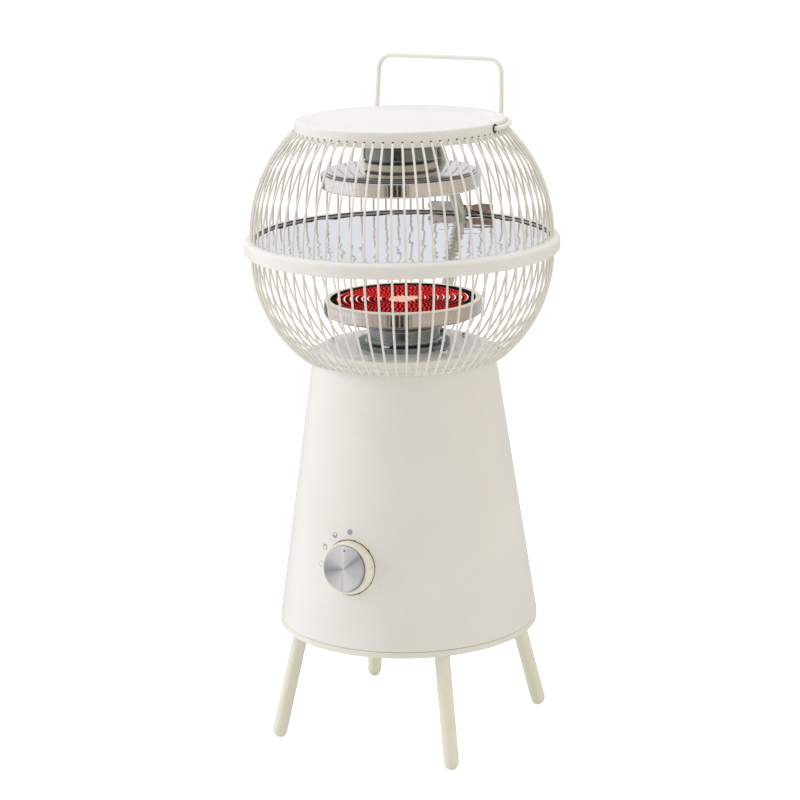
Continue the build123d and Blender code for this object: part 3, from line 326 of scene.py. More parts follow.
def makeFloor(look):
    # matt white paper, nearly burnt out in the picture, so that only the shadow close to a foot shows;
    # it sends light up under the object
    material, tree = newMaterial("studio paper, matt white")
    seen = seesBackdrop(tree, addNode(tree, "ShaderNodeLightPath"))
    paper = addNode(tree, "ShaderNodeBsdfDiffuse", {"Color": look["paper"]})
    glow = addNode(tree, "ShaderNodeEmission", {"Color": (1, 1, 1, 1), "Strength": look["floorGlow"]})
    burnt = addNode(tree, "ShaderNodeAddShader", {0: paper.outputs[0], 1: glow.outputs[0]})
    mixed = addNode(tree, "ShaderNodeMixShader", {0: seen.outputs[0], 1: paper.outputs[0],
                                                  2: burnt.outputs[0]})
    addNode(tree, "ShaderNodeOutputMaterial", {"Surface": mixed.outputs[0]})
    half = look["floorHalf"]
    mesh = bpy.data.meshes.new("floor")
    mesh.from_pydata([(-half, -half, 0), (half, -half, 0), (half, half, 0), (-half, half, 0)], [],
                     [(0, 1, 2, 3)])
    mesh.materials.append(material)
    floor = bpy.data.objects.new("floor", mesh)
    bpy.context.collection.objects.link(floor)
    floor.visible_glossy = False


# powers in watts, widths and places in metres; a lamp without a target faces the heater's middle
heaterMiddle = (0, 0, 0.36)
lamps = {
    "keySoftbox": {"power": 36, "size": 1.6, "place": (-2.6, -1.1, 1.3), "tone": "#EFF5FF"},
    "fillSoftbox": {"power": 7, "size": 1.6, "place": (2.6, 0.6, 1.6), "tone": "#FFF6EC"},
    "topSoftbox": {"power": 26, "size": 1.6, "place": (0.0, 0.2, 3.0), "tone": "#E4EDFF"},
    # the polished discs throw the studio's light back into the cage, up and down
    "upperBounce": {"power": 0.08, "size": 0.27, "place": (0, 0, 0.540), "tone": "#FFFDF8",
                    "target": (0, 0, 1)},
    "lowerBounce": {"power": 0.14, "size": 0.27, "place": (0, 0, 0.521), "tone": "#FFFDF8",
                    "target": (0, 0, 0)},
}


def makeLamp(name, power, size, place, tone, target=heaterMiddle):
    # a round softbox at place that faces target, hidden from the camera and from gloss
    data = bpy.data.lights.new(name, "AREA")
    data.shape = "DISK"
    data.size = size
    data.energy = power
    data.color = linear(tone)[:3]
    lamp = bpy.data.objects.new(name, data)
    bpy.context.collection.objects.link(lamp)
    lamp.location = place
    lamp.rotation_euler = (Vector(target) - Vector(place)).to_track_quat("-Z", "Y").to_euler()
    lamp.visible_camera = False
    lamp.visible_glossy = False


makeWorld(studio)
makeFloor(studio)
for lampName, lamp in lamps.items():
    makeLamp(lampName, **lamp)
print("studio lit")


# Finishes

# what every plain finish shares: the details of its two noises, the stretch of their sum that goes from
# dark to light, the stretch of the fine one that moves the roughness, and the bump's depth in grains
texture = {"broadDetail": 3.0, "fineDetail": 4.0, "spread": (0.7, 1.3), "wander": (0.3, 0.7), "swing": 0.05,
           "depth": 0.12}


def variedMaterial(name, look):
    # two close tones mixed by noise, roughness that wanders with it, and a fine bump;
    # grain and patch are the real sizes of the two noises in mm, stretch squeezes them along X, Y and Z
    material, tree = newMaterial(name)
    place = addNode(tree, "ShaderNodeTexCoord")
    mapped = addNode(tree, "ShaderNodeMapping", {"Vector": place.outputs["Object"],
                                                 "Scale": look.get("stretch", (1, 1, 1))})
    broad, fine = [
        addNode(tree, "ShaderNodeTexNoise", {"Vector": mapped.outputs[0], "Scale": 1 / (look[size] * mm),
                                             "Detail": texture[detail]})
        for size, detail in (("patch", "broadDetail"), ("grain", "fineDetail"))]
    both = addNode(tree, "ShaderNodeMath", {0: broad.outputs["Fac"], 1: fine.outputs["Fac"]}, operation="ADD")
    spread = addNode(tree, "ShaderNodeMapRange", {"Value": both.outputs[0], "From Min": texture["spread"][0],
                                                  "From Max": texture["spread"][1]})
    tone = addNode(tree, "ShaderNodeMix", {0: spread.outputs[0], 6: linear(look["dark"]),
                                           7: linear(look["light"])}, data_type="RGBA")
    rough = addNode(tree, "ShaderNodeMapRange", {
        "Value": fine.outputs["Fac"], "From Min": texture["wander"][0], "From Max": texture["wander"][1],
        "To Min": look["roughness"] - texture["swing"], "To Max": look["roughness"] + texture["swing"]})
    bump = addNode(tree, "ShaderNodeBump", {"Height": fine.outputs["Fac"], "Strength": look["bump"],
                                            "Distance": look["grain"] * texture["depth"] * mm})
    sockets = {"Base Color": tone.outputs[2], "Roughness": rough.outputs[0], "Normal": bump.outputs[0],
               "Metallic": look.get("metallic", 0.0), "Coat Weight": look.get("coat", 0.0)}
    return endMaterial(material, tree, {**sockets, **look.get("sockets", {})})


finishes = {
    # polyester powder coat on pressed steel: warm off-white, satin, faint orange peel of about 1.5 mm
    "powder coat, warm white": {
        "dark": "#E9E6E1", "light": "#F0EEEA", "grain": 1.5, "patch": 90, "roughness": 0.42, "bump": 0.12},
    # the same coat on drawn wire: thinner, a little warmer and glossier
    "powder coat on wire": {
        "dark": "#E9E5DC", "light": "#F2EFE8", "grain": 1.0, "patch": 25, "roughness": 0.36, "bump": 0.1},
    # the same coat on the tube of the legs: slightly yellower
    "powder coat on leg tube": {
        "dark": "#E8E5D4", "light": "#F2EFDF", "grain": 1.2, "patch": 40, "roughness": 0.4, "bump": 0.1},
    # the same coat on the base tray, between legs and body in tone
    "powder coat on tray": {
        "dark": "#E6E4D9", "light": "#EFEDE3", "grain": 1.5, "patch": 90, "roughness": 0.42, "bump": 0.12},
    # rolled stainless strip, bright annealed: mirror-like with fine rolling lines round the wall
    "stainless strip, bright rolled": {
        "dark": "#E2DFDC", "light": "#F1EFED", "grain": 0.8, "patch": 14, "roughness": 0.08, "bump": 0.01,
        "metallic": 1.0, "stretch": (0.05, 0.05, 3.0)},
    # the same strip as a darker copy for the lower pan, painted shade: greyer and a little softer
    "stainless strip, painted shade": {
        "dark": "#CEC9C6", "light": "#E2DEDB", "grain": 0.8, "patch": 14, "roughness": 0.11, "bump": 0.01,
        "metallic": 1.0, "stretch": (0.05, 0.05, 3.0)},
    # zinc plated drawn steel, blue passivated: dark cool grey, drawn lines down the cup
    "zinc plated steel, blue": {
        "dark": "#737C7C", "light": "#949C9B", "grain": 1.0, "patch": 9, "roughness": 0.17, "bump": 0.05,
        "metallic": 1.0, "stretch": (1, 1, 0.08)},
    # painted shade on the flange at the foot of that cup: a near-black copy of the zinc finish
    "zinc plated steel, painted shade": {
        "dark": "#1A1D1F", "light": "#2C3031", "grain": 1.0, "patch": 9, "roughness": 0.25, "bump": 0.05,
        "metallic": 0.9},
    # the conduit's stainless clip, polished: clear reflections with a warm cast
    "stainless clip, polished": {
        "dark": "#A79A8F", "light": "#D2C8BF", "grain": 1.2, "patch": 12, "roughness": 0.08, "bump": 0.02,
        "metallic": 1.0},
    # bright nickel on small screws: a clean mirror
    "nickel plate, bright": {
        "dark": "#E4DED7", "light": "#F0ECE6", "grain": 1.2, "patch": 24, "roughness": 0.06, "bump": 0.02,
        "metallic": 1.0},
    # pressed mineral fibre ring: chalky cream, matt, felted grain
    "pressed mineral fibre": {
        "dark": "#D3CEC2", "light": "#E6E2D8", "grain": 0.9, "patch": 10, "roughness": 0.85, "bump": 0.5},
    # steatite spacer, fired and unglazed: cream, matt
    "steatite, unglazed": {
        "dark": "#F6EDD6", "light": "#FFF9E9", "grain": 0.7, "patch": 14, "roughness": 0.7, "bump": 0.25},
    # heat-tinted steel spacer: brown grey; the same brown lies round the pan's steps as a painted reflection
    "steel, heat tinted, and painted step reflection": {
        "dark": "#5A4F47", "light": "#7C7067", "grain": 0.8, "patch": 12, "roughness": 0.35, "bump": 0.15,
        "metallic": 0.8},
    # microporous bed under the coil, darkened with opacifier: black brown, dead matt
    "insulation bed, dark": {
        "dark": "#0B0606", "light": "#170B0A", "grain": 0.9, "patch": 12, "roughness": 0.9, "bump": 0.4,
        "sockets": {"Specular IOR Level": 0.05}},
    # lacquered conduit tube: olive grey, satin
    "conduit tube, olive grey": {
        "dark": "#BDBEAE", "light": "#D8D9CA", "grain": 0.9, "patch": 20, "roughness": 0.26, "bump": 0.06,
        "metallic": 0.45},
    # moulded ABS of the knob: ivory, light spark texture
    "moulded ABS, ivory": {
        "dark": "#EFECDD", "light": "#F4F2E6", "grain": 0.5, "patch": 20, "roughness": 0.33, "bump": 0.08},
    # glass-filled nylon: black, half matt
    "moulded nylon, black": {
        "dark": "#17161A", "light": "#232227", "grain": 0.5, "patch": 12, "roughness": 0.5, "bump": 0.2},
    # plain zinc plated steel for hidden brackets and bolts: mid grey, brushed by handling
    "zinc plated steel, plain": {
        "dark": "#8E9092", "light": "#ABADAF", "grain": 0.8, "patch": 10, "roughness": 0.32, "bump": 0.12,
        "metallic": 1.0},
    # stove enamel on the floor plate: white and so glossy that the wires show in it
    "stove enamel, glossy white": {
        "dark": "#EAE7E1", "light": "#F1EFEA", "grain": 1.5, "patch": 60, "roughness": 0.12, "bump": 0.02,
        "coat": 0.6},
    # nitrile gasket cord between ring and mirror: soft black
    "nitrile gasket, black": {
        "dark": "#1B1916", "light": "#29251F", "grain": 0.5, "patch": 9, "roughness": 0.6, "bump": 0.1},
    # screen-printed ink: blue grey, flat
    "screen ink, blue grey": {
        "dark": "#93A0A8", "light": "#9DAAB1", "grain": 0.4, "patch": 6, "roughness": 0.5, "bump": 0.05},
    # painted shade: the dark of a hole or hollow laid on as a flat spot, warm black, matt
    "painted shade in a hollow": {
        "dark": "#2A2622", "light": "#3A352F", "grain": 0.5, "patch": 5, "roughness": 0.9, "bump": 0.1},
    # painted shadow: the line where the knob's foot meets the cone, brown with a brass tint
    "painted shadow line, brown": {
        "dark": "#5E420A", "light": "#8A6820", "grain": 0.4, "patch": 6, "roughness": 0.5, "bump": 0.1},
}
skin = {name: variedMaterial(name, look) for name, look in finishes.items()}

reflector = {"haze": 25, "roughness": (0.01, 0.05), "tones": ("#F0F2F6", "#F6F7FA")}


def mirrorMaterial(look):
    # polished aluminium reflector sheet: near-perfect mirror with a cool cast and a haze in 25 mm patches
    material, tree = newMaterial("aluminium reflector sheet, polished")
    place = addNode(tree, "ShaderNodeTexCoord")
    haze = addNode(tree, "ShaderNodeTexNoise", {"Vector": place.outputs["Object"],
                                                "Scale": 1 / (look["haze"] * mm), "Detail": 3.0})
    rough = addNode(tree, "ShaderNodeMapRange", {"Value": haze.outputs["Fac"], "To Min": look["roughness"][0],
                                                 "To Max": look["roughness"][1]})
    tint = addNode(tree, "ShaderNodeMix", {0: haze.outputs["Fac"], 6: linear(look["tones"][0]),
                                           7: linear(look["tones"][1])}, data_type="RGBA")
    return endMaterial(material, tree, {"Base Color": tint.outputs[2], "Roughness": rough.outputs[0],
                                        "Metallic": 1.0})


# the ribbon's heat: the part of each wave that goes from cold to glowing, its dark part painted shade,
# its tones, the pale painted highlight in the middle, and the painted glints
heat = {
    "flank": (-0.3, 0.6),
    "tones": [(0.0, "#200204"), (0.42, "#8C060B"), (0.75, "#F01A1C"), (1.0, "#FF2C26")],
    "oxide": "#1A0404", "streak": 25 / 3, "wander": 12, "centreHighlightEdge": (22.5, 20.5), "centreHighlightTone": "#FFC2B2",
    "roughness": 0.6, "shine": 0.05,
    "glintOxide": "#3A0A08", "flicker": 2, "glintTones": ("#FFCFC2", "#FFF0EA"), "glintStrength": 1.2,
}


def glowMaterial(look):
    # iron-chrome-aluminium ribbon at red heat: its emission swings along the corrugation, its dark part
    # painted shade (U counts the waves, V goes up the edge), and it turns to a pale pink painted highlight
    # within about 16 mm of the middle
    material, tree = newMaterial("heating ribbon, red heat")
    flow = addNode(tree, "ShaderNodeUVMap", uv_map="flow")
    parts = addNode(tree, "ShaderNodeSeparateXYZ", {0: flow.outputs[0]})
    turn = addNode(tree, "ShaderNodeMath", {0: parts.outputs["X"], 1: 2 * math.pi}, operation="MULTIPLY")
    flank = addNode(tree, "ShaderNodeMath", {0: turn.outputs[0]}, operation="SINE")
    level = addNode(tree, "ShaderNodeMapRange", {"Value": flank.outputs[0], "From Min": look["flank"][0],
                                                 "From Max": look["flank"][1]})
    ramp = addNode(tree, "ShaderNodeValToRGB", {0: level.outputs[0]})
    setRamp(ramp, look["tones"])
    place = addNode(tree, "ShaderNodeTexCoord")
    flat = addNode(tree, "ShaderNodeMapping", {"Vector": place.outputs["Object"], "Scale": (1, 1, 0)})
    radius = addNode(tree, "ShaderNodeVectorMath", {0: flat.outputs[0]}, operation="LENGTH")
    streak = addNode(tree, "ShaderNodeTexNoise", {"Vector": flat.outputs[0],
                                                  "Scale": 1 / (look["streak"] * mm), "Detail": 1.0})
    wander = addNode(tree, "ShaderNodeMath", {0: streak.outputs["Fac"], 1: look["wander"] * mm,
                                              2: radius.outputs["Value"]}, operation="MULTIPLY_ADD")
    # the pale pink middle is a painted highlight
    outside, inside = look["centreHighlightEdge"]
    centreHighlight = addNode(tree, "ShaderNodeMapRange", {"Value": wander.outputs[0], "From Min": outside * mm,
                                               "From Max": inside * mm})
    tone = addNode(tree, "ShaderNodeMix", {0: centreHighlight.outputs[0], 6: ramp.outputs[0], 7: linear(look["centreHighlightTone"])},
                   data_type="RGBA")
    return endMaterial(material, tree, {
        "Base Color": linear(look["oxide"]), "Roughness": look["roughness"],
        "Specular IOR Level": look["shine"], "Emission Color": tone.outputs[2], "Emission Strength": 1.0})


def glintMaterial(look):
    # painted highlights on the ribbon, glints where the turns catch the light: pale cream with a 2 mm flicker
    material, tree = newMaterial("heating ribbon, painted glint")
    place = addNode(tree, "ShaderNodeTexCoord")
    flicker = addNode(tree, "ShaderNodeTexNoise", {"Vector": place.outputs["Object"],
                                                   "Scale": 1 / (look["flicker"] * mm), "Detail": 2.0})
    tone = addNode(tree, "ShaderNodeMix", {0: flicker.outputs["Fac"], 6: linear(look["glintTones"][0]),
                                           7: linear(look["glintTones"][1])}, data_type="RGBA")
    return endMaterial(material, tree, {
        "Base Color": linear(look["glintOxide"]), "Roughness": look["roughness"],
        "Specular IOR Level": look["shine"], "Emission Color": tone.outputs[2],
        "Emission Strength": look["glintStrength"]})


heatGlass = {"tone": "#2A0604", "smear": 50 / 3, "roughness": (0.02, 0.08), "ior": 1.3, "alpha": 0.02}


def glassMaterial(look):
    # glass-ceramic plate in front of a glowing coil: clear with a trace of red, its shine kept very weak
    material, tree = newMaterial("glass ceramic, clear")
    place = addNode(tree, "ShaderNodeTexCoord")
    smear = addNode(tree, "ShaderNodeTexNoise", {"Vector": place.outputs["Object"],
                                                 "Scale": 1 / (look["smear"] * mm), "Detail": 2.0})
    clear, smeared = look["roughness"]
    rough = addNode(tree, "ShaderNodeMapRange", {"Value": smear.outputs["Fac"], "To Min": clear,
                                                 "To Max": smeared})
    return endMaterial(material, tree, {"Base Color": linear(look["tone"]), "Roughness": rough.outputs[0],
                                        "IOR": look["ior"], "Alpha": look["alpha"]})


spun = {
    # painted sheen: the wedges' tones once round the disc, starting at its right
    "wedges": [
        (0.0, "#D6D8DC"), (0.06, "#CCCED3"), (0.11, "#ADB0B5"), (0.145, "#DBDDE1"), (0.20, "#E6E8EB"),
        (0.245, "#EBECF0"), (0.262, "#FBFBFD"), (0.30, "#E9EAEE"), (0.40, "#DDE0E4"), (0.47, "#C4C7CC"),
        (0.53, "#AAADB3"), (0.575, "#C7C9CE"), (0.62, "#DFE1E4"), (0.72, "#F8F8FA"), (0.745, "#E1E3E6"),
        (0.77, "#F5F6F8"), (0.84, "#E8EAEC"), (0.93, "#D5D8DC"), (1.0, "#D6D8DC")],
    "rings": 9.0, "ringDistortion": 0.3, "bump": 0.08, "bumpDepth": 0.05, "roughness": 0.32,
    "anisotropy": 0.75,
}


def spunMaterial(look):
    # aluminium disc, spun finish: fine rings turned on a lathe, so the sheen opens in wedges round
    # the middle; these wedges are also painted sheen in the base colour, their tones following the disc's own
    # angle (U of its map)
    material, tree = newMaterial("aluminium, spun and clear anodised")
    flow = addNode(tree, "ShaderNodeUVMap", uv_map="flow")
    parts = addNode(tree, "ShaderNodeSeparateXYZ", {0: flow.outputs[0]})
    ramp = addNode(tree, "ShaderNodeValToRGB", {0: parts.outputs[0]})
    setRamp(ramp, look["wedges"])
    rings = addNode(tree, "ShaderNodeTexWave", {"Vector": flow.outputs[0], "Scale": look["rings"],
                                                "Distortion": look["ringDistortion"], "Detail": 2.0},
                    wave_type="BANDS", bands_direction="Y")
    bump = addNode(tree, "ShaderNodeBump", {"Height": rings.outputs["Fac"], "Strength": look["bump"],
                                            "Distance": look["bumpDepth"] * mm})
    tangent = addNode(tree, "ShaderNodeTangent", direction_type="UV_MAP", uv_map="flow")
    return endMaterial(material, tree, {
        "Base Color": ramp.outputs[0], "Roughness": look["roughness"], "Metallic": 1.0,
        "Anisotropic": look["anisotropy"], "Normal": bump.outputs[0], "Tangent": tangent.outputs[0]})


skin["mirror"] = mirrorMaterial(reflector)
skin["ribbon"] = glowMaterial(heat)
skin["glint"] = glintMaterial(heat)
skin["glass"] = glassMaterial(heatGlass)
skin["spun"] = spunMaterial(spun)
print("materials made")


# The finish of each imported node
nodeFinish = {
    "powder coat, warm white": ["body_shell", "top_cover", "equator_ring", "floor_plate", "handle"],
    "powder coat on tray": ["base_tray"],
    "powder coat on leg tube": ["leg_front_left", "leg_front_right", "leg_rear_left", "leg_rear_right"],
    "powder coat on wire": ["upper_cage_wires", "lower_cage_wires"],
    "stainless strip, bright rolled": ["upper_pan"],
    "stainless strip, painted shade": ["lower_pan"],
    "zinc plated steel, blue": ["lower_stand", "upper_stand"],
    "stainless clip, polished": ["tube_saddle"],
    "nickel plate, bright": ["floor_plate_screws", "lower_stand_screws", "upper_stand_screws", "disc_rivets"],
    "pressed mineral fibre": ["lower_insulation_ring", "upper_insulation_ring"],
    "steatite, unglazed": ["lower_spacer_large", "upper_spacer_large"],
    "steel, heat tinted, and painted step reflection": ["lower_spacer_small", "upper_spacer_small"],
    "insulation bed, dark": ["lower_insulation_bed", "upper_insulation_bed"],
    "conduit tube, olive grey": ["conduit_tube"],
    "moulded ABS, ivory": ["knob_body"],
    "moulded nylon, black": [
        "rotary_switch", "tilt_switch", "terminal_block", "cord_gland", "pivot_bushes", "conduit_ferrules"],
    "zinc plated steel, plain": [
        "base_screws", "leg_bolts", "switch_bracket", "switch_nut", "knob_shaft", "top_plate_screws",
        "handle_clips", "gland_nut", "terminal_screws", "top_inner_plate", "thermal_cutout"],
    "mirror": ["upper_reflector_disc", "lower_reflector_disc"],
    "ribbon": ["lower_coil", "upper_coil"],
    "glass": ["lower_glass", "upper_glass"],
    "spun": ["knob_cap"],
}
for finishName, nodeNames in nodeFinish.items():
    for nodeName in nodeNames:
        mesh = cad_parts[nodeName].data
        if len(mesh.materials) == 0:
            mesh.materials.append(skin[finishName])
        for k in range(len(mesh.materials)):
            mesh.materials[k] = skin[finishName]
print("nodes dressed")


# Body and legs

shell = {"seamHeight": 127.6, "bottomRadius": 138.3, "topRadius": 96.8, "top": 409.3, "sheet": 1.2,
         "flangeInner": 52.0, "topRound": 0.8, "seamRound": 0.5, "innerRound": 0.3}
coneSlope = (shell["bottomRadius"] - shell["topRadius"]) / (shell["top"] - shell["seamHeight"])
coneTilt = math.atan(coneSlope)


def coneRadius(z):
    # straight line between the seam radius and the top radius
    return shell["bottomRadius"] - coneSlope * (np.asarray(z, float) - shell["seamHeight"])


def makeBody(look):
    # a closed sheet profile turned about Z: cone outside, flange on top, sheet inside
    t, soft = look["sheet"], look["innerRound"]
    corners = [
        (look["bottomRadius"], look["seamHeight"], look["seamRound"]),
        (look["topRadius"], look["top"], look["topRound"]),
        (look["flangeInner"], look["top"], soft), (look["flangeInner"], look["top"] - t, soft),
        (look["topRadius"] - t, look["top"] - t, soft), (look["bottomRadius"] - t, look["seamHeight"], soft)]
    body = lathe("bodyShell", corners, skin["powder coat, warm white"], turns=288, slot="cream_paint")
    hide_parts("body_shell")


legs = {"radius": 8.0, "tilt": 14.0, "footRadius": 147.2, "footHeight": 7.6, "length": 148.0,
        "angles": {"front_left": 225, "front_right": 315, "rear_right": 45, "rear_left": 135}}


def cutAtFloor(points):
    points[:, 2] = np.maximum(points[:, 2], 0.0)


def makeLegs(look):
    # a straight rod with a half-ball end, along foot + s * axis; the ball is cut level with the floor
    tilt = math.radians(look["tilt"])
    ball = arcPoints((0, 0), look["radius"], -90, 0, steps=14)
    profile = np.vstack([ball, [[look["radius"], look["length"]], [0, look["length"]]]])
    for place, angle in look["angles"].items():
        a = math.radians(angle)
        outward = np.array([math.cos(a), math.sin(a), 0.0])
        ez = np.array([0, 0, math.cos(tilt)]) - outward * math.sin(tilt)
        ex = np.cross(outward, [0, 0, 1.0])
        ey = np.cross(ez, ex)
        foot = outward * look["footRadius"] + np.array([0, 0, look["footHeight"]])
        leg = lathe("leg_" + place.replace("_", ""), profile, skin["powder coat on leg tube"], turns=64,
                    closed=False, axis=(foot, ex, ey, ez), slot="cream_paint")
        reshape(leg, cutAtFloor)
        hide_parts("leg_" + place)


makeBody(shell)
makeLegs(legs)
print("body and legs done")


# Equator ring and rippled mirror discs

ring = {"inner": 154.0, "outer": 165.0, "bottom": 522.5, "top": 538.5, "topRound": 5.0, "bottomRound": 3.2,
        "innerTopRound": 0.8, "innerBottomRound": 0.5, "ledgeInner": 148.0, "ledgeRound": 0.3,
        "upperLedge": (533.4, 534.9), "lowerLedge": (526.1, 527.6), "gasket": (153.35, 154.1, 536.85, 538.2),
        "gasketRounds": (0.1, 0.2)}


def makeRing(look):
    # one closed section turned about Z, with a ledge for each disc
    inner, outer, bottom, top = look["inner"], look["outer"], look["bottom"], look["top"]
    ledges = []
    for low, high in (look["upperLedge"], look["lowerLedge"]):
        ledges += [(inner, high), (look["ledgeInner"], high, look["ledgeRound"]),
                   (look["ledgeInner"], low, look["ledgeRound"]), (inner, low)]
    corners = [(inner, bottom, look["innerBottomRound"]), (outer, bottom, look["bottomRound"]),
               (outer, top, look["topRound"]), (inner, top, look["innerTopRound"])] + ledges
    band = lathe("equatorRing", corners, skin["powder coat, warm white"], turns=360, steps=8,
                 slot="cream_paint")
    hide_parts("equator_ring")


def makeGasket(look):
    # thin cord in the ring's inner wall, just above the mirror: a rounded box turned about Z
    inner, outer, low, high = look["gasket"]
    lowRound, highRound = look["gasketRounds"]
    corners = [(inner, low, lowRound), (outer, low, lowRound), (outer, high, highRound),
               (inner, high, highRound)]
    lathe("ringGasket", corners, skin["nitrile gasket, black"], turns=240, steps=3, slot="dark_plastic")


# each ripple is a mean wave length in mm, a steepness, and how many waves of about that length
discs = {"radius": 153.5, "sheet": 0.9, "sink": 0.05, "calm": 4.0, "chamfer": (0.4, 0.35),
         "spread": (0.8, 1.25), "ripple": [(17.0, 0.020, 11), (9.0, 0.018, 23), (31.0, 0.018, 7)]}
discPair = {"upperMirror": {"node": "upper_reflector_disc", "level": 535.8, "way": 1, "seed": 5},
            "lowerMirror": {"node": "lower_reflector_disc", "level": 525.2, "way": -1, "seed": 9}}


def rippleHeight(x, y, look, seed):
    # sum of plane waves in random directions: height = steepness * wave / 2 pi * sin(k . p + phase)
    random = np.random.default_rng(seed)
    height = np.zeros_like(x)
    for wave, steepness, count in look["ripple"]:
        turn = random.uniform(0, 2 * np.pi, count)
        phase = random.uniform(0, 2 * np.pi, count)
        length = wave * random.uniform(*look["spread"], count)
        rise = steepness / math.sqrt(count) * length / (2 * np.pi)
        for k in range(count):
            along = x * math.cos(turn[k]) + y * math.sin(turn[k])
            height += rise[k] * np.sin(2 * np.pi * along / length[k] + phase[k])
    return height


def makeDisc(name, look, node, level, way, seed):
    # rings of points out from the middle: z = level + ripple, calm near the rim; a flat back closes it
    radius, sheet = look["radius"], look["sheet"]
    across, down = look["chamfer"]
    r = np.concatenate([np.linspace(0, radius - across, 120), [radius, radius]])[None, :]
    phi = np.linspace(0, 2 * np.pi, 420, endpoint=False)[:, None]
    x, y = r * np.cos(phi), r * np.sin(phi)
    calm = np.clip((radius - r) / look["calm"], 0, 1)
    z = level + way * (rippleHeight(x, y, look, seed) * calm - look["sink"])
    z[:, -2] = level - way * down
    z[:, -1] = level - way * sheet
    front = np.stack([x, y, z], -1)
    back = np.stack([0 * phi, 0 * phi, 0 * phi + level - way * sheet], -1)
    points = np.concatenate([front, back], 1)
    faces = gridFaces(points.shape[0], points.shape[1], True)
    disc = makeMesh(name, points.reshape(-1, 3), faces, skin["mirror"], smoothAngle=40, slot="mirror_sheet")
    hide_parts(node)


makeRing(ring)
makeGasket(ring)
for discName, disc in discPair.items():
    makeDisc(discName, discs, **disc)
print("ring and mirrors done")


# Cage wires

wires = {"count": 72, "radius": 1.2, "sides": 8, "equator": 157.5,
         "upper": {"inRing": 533.5, "start": 540.5, "arc": 150.0, "bend": 3.0, "hole": 648.3, "end": 106.7,
                   "way": 1},
         "lower": {"inRing": 527.5, "start": 520.5, "arc": 140.0, "bend": 6.0, "hole": 412.05, "end": 94.8,
                   "way": -1}}


def wirePath(look, equator):
    # straight out of the ring, a large arc, a small bend, then level to the hole
    way, bend = look["way"], look["bend"]
    reach = look["arc"] - bend
    turn = math.degrees(math.asin((abs(look["hole"] - look["start"]) - bend) / reach))
    centre = (equator - look["arc"], look["start"])
    large = arcPoints(centre, look["arc"], 0, way * turn, steps=26)
    corner = (centre[0] + reach * math.cos(math.radians(turn)),
              centre[1] + way * reach * math.sin(math.radians(turn)))
    small = arcPoints(corner, bend, way * turn, way * 90, steps=7)[1:]
    return np.vstack([[[equator, look["inRing"]]], large, small, [[look["end"], look["hole"]]]])


def makeWires(look):
    # one tube round a wire's path, repeated at equal angles from the front
    angles = np.radians(np.arange(look["count"]) * 360 / look["count"] - 90)
    for side in ("upper", "lower"):
        path = wirePath(look[side], look["equator"])
        points, faces = planarTubes(path, look["radius"], angles, look["sides"])
        cage = makeMesh(side + "CageWires", points, faces, skin["powder coat on wire"], smoothAngle=60,
                        slot="wire_paint")
        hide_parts(side + "_cage_wires")


makeWires(wires)
print("cage done")


# Saddle that holds the conduit to the ring

saddle = {"arc": 154.9, "left": 47.5, "right": 32.0, "bend": 15.6, "strap": 6.9, "seat": 132.9, "sheet": 1.2,
          "low": 538.5, "height": 10.0, "tip": 0.1, "flareLength": 10.0, "flare": 3.2}


def makeSaddle(look):
    # in plan: wing on the ring's arc x^2 + y^2 = arc^2, leg, half circle behind the tube, leg, wing; the
    # left end is round, with half height sqrt(h^2 - (h - d)^2) at d from the end, and the right end
    # flares by flare * t^2
    left = np.linspace(-look["left"], -look["bend"], 30)
    right = np.linspace(look["bend"], look["right"], 20)
    wings = [np.stack([x, np.sqrt(look["arc"] ** 2 - x ** 2)], -1) for x in (left, right)]
    strap = arcPoints((0, look["seat"]), look["strap"], 180, 0, steps=20)
    plan = np.vstack([wings[0], strap, wings[1]])
    length = np.concatenate([[0], np.cumsum(np.linalg.norm(np.diff(plan, axis=0), axis=1))])
    s = np.linspace(0, length[-1], 260)
    path = np.stack([np.interp(s, length, plan[:, 0]), np.interp(s, length, plan[:, 1])], -1)
    path[:, 1] -= look["flare"] * np.clip(1 - (s[-1] - s) / look["flareLength"], 0, 1) ** 2
    h = look["height"] / 2
    reach = np.sqrt(np.maximum(h ** 2 - np.maximum(h - s, 0) ** 2, look["tip"] ** 2))
    middle = look["low"] + h
    points, faces = standingStrip(path, look["sheet"], middle - reach, middle + reach)
    strip = makeMesh("tubeSaddle", points, faces, skin["stainless clip, polished"], smoothAngle=40,
                     slot="bright_steel")
    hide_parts("tube_saddle")


makeSaddle(saddle)
print("saddle done")


# Top cover and floor plate

cover = {"radius": 109.3, "top": 660.3, "bottom": 644.4, "sheet": 1.2, "dish": 1.0, "dishRadius": 96.0,
         "dishSlope": (2.5, 1.5), "dishRound": 4.0, "edge": 1.8, "hemRound": 0.5, "innerRound": 0.6}


def makeCover(look):
    # lid and skirt as one closed section turned about Z, with a shallow dish in the lid
    t, top, bottom, r = look["sheet"], look["top"], look["bottom"], look["radius"]
    floor, (inward, outward) = top - look["dish"], look["dishSlope"]
    corners = [
        (0, floor), (look["dishRadius"] - inward, floor, look["dishRound"]),
        (look["dishRadius"] + outward, top, look["dishRound"]), (r, top, look["edge"]),
        (r, bottom, look["hemRound"]), (r - t, bottom, look["hemRound"]),
        (r - t, top - t, look["innerRound"]), (0, floor - t)]
    lid = lathe("topCover", corners, skin["powder coat, warm white"], turns=288, slot="cream_paint")
    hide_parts("top_cover")


floorPlate = {"radius": 97.4, "rimTop": 414.8, "bottom": 409.3, "riseOuter": 90.5, "riseInner": 87.0,
              "top": 421.5, "sheet": 1.0, "bore": 13.0, "riseRound": 2.0, "footRound": 1.5, "rimRound": 0.9,
              "edge": 0.3, "tuck": 0.6, "innerRounds": (0.8, 1.0)}


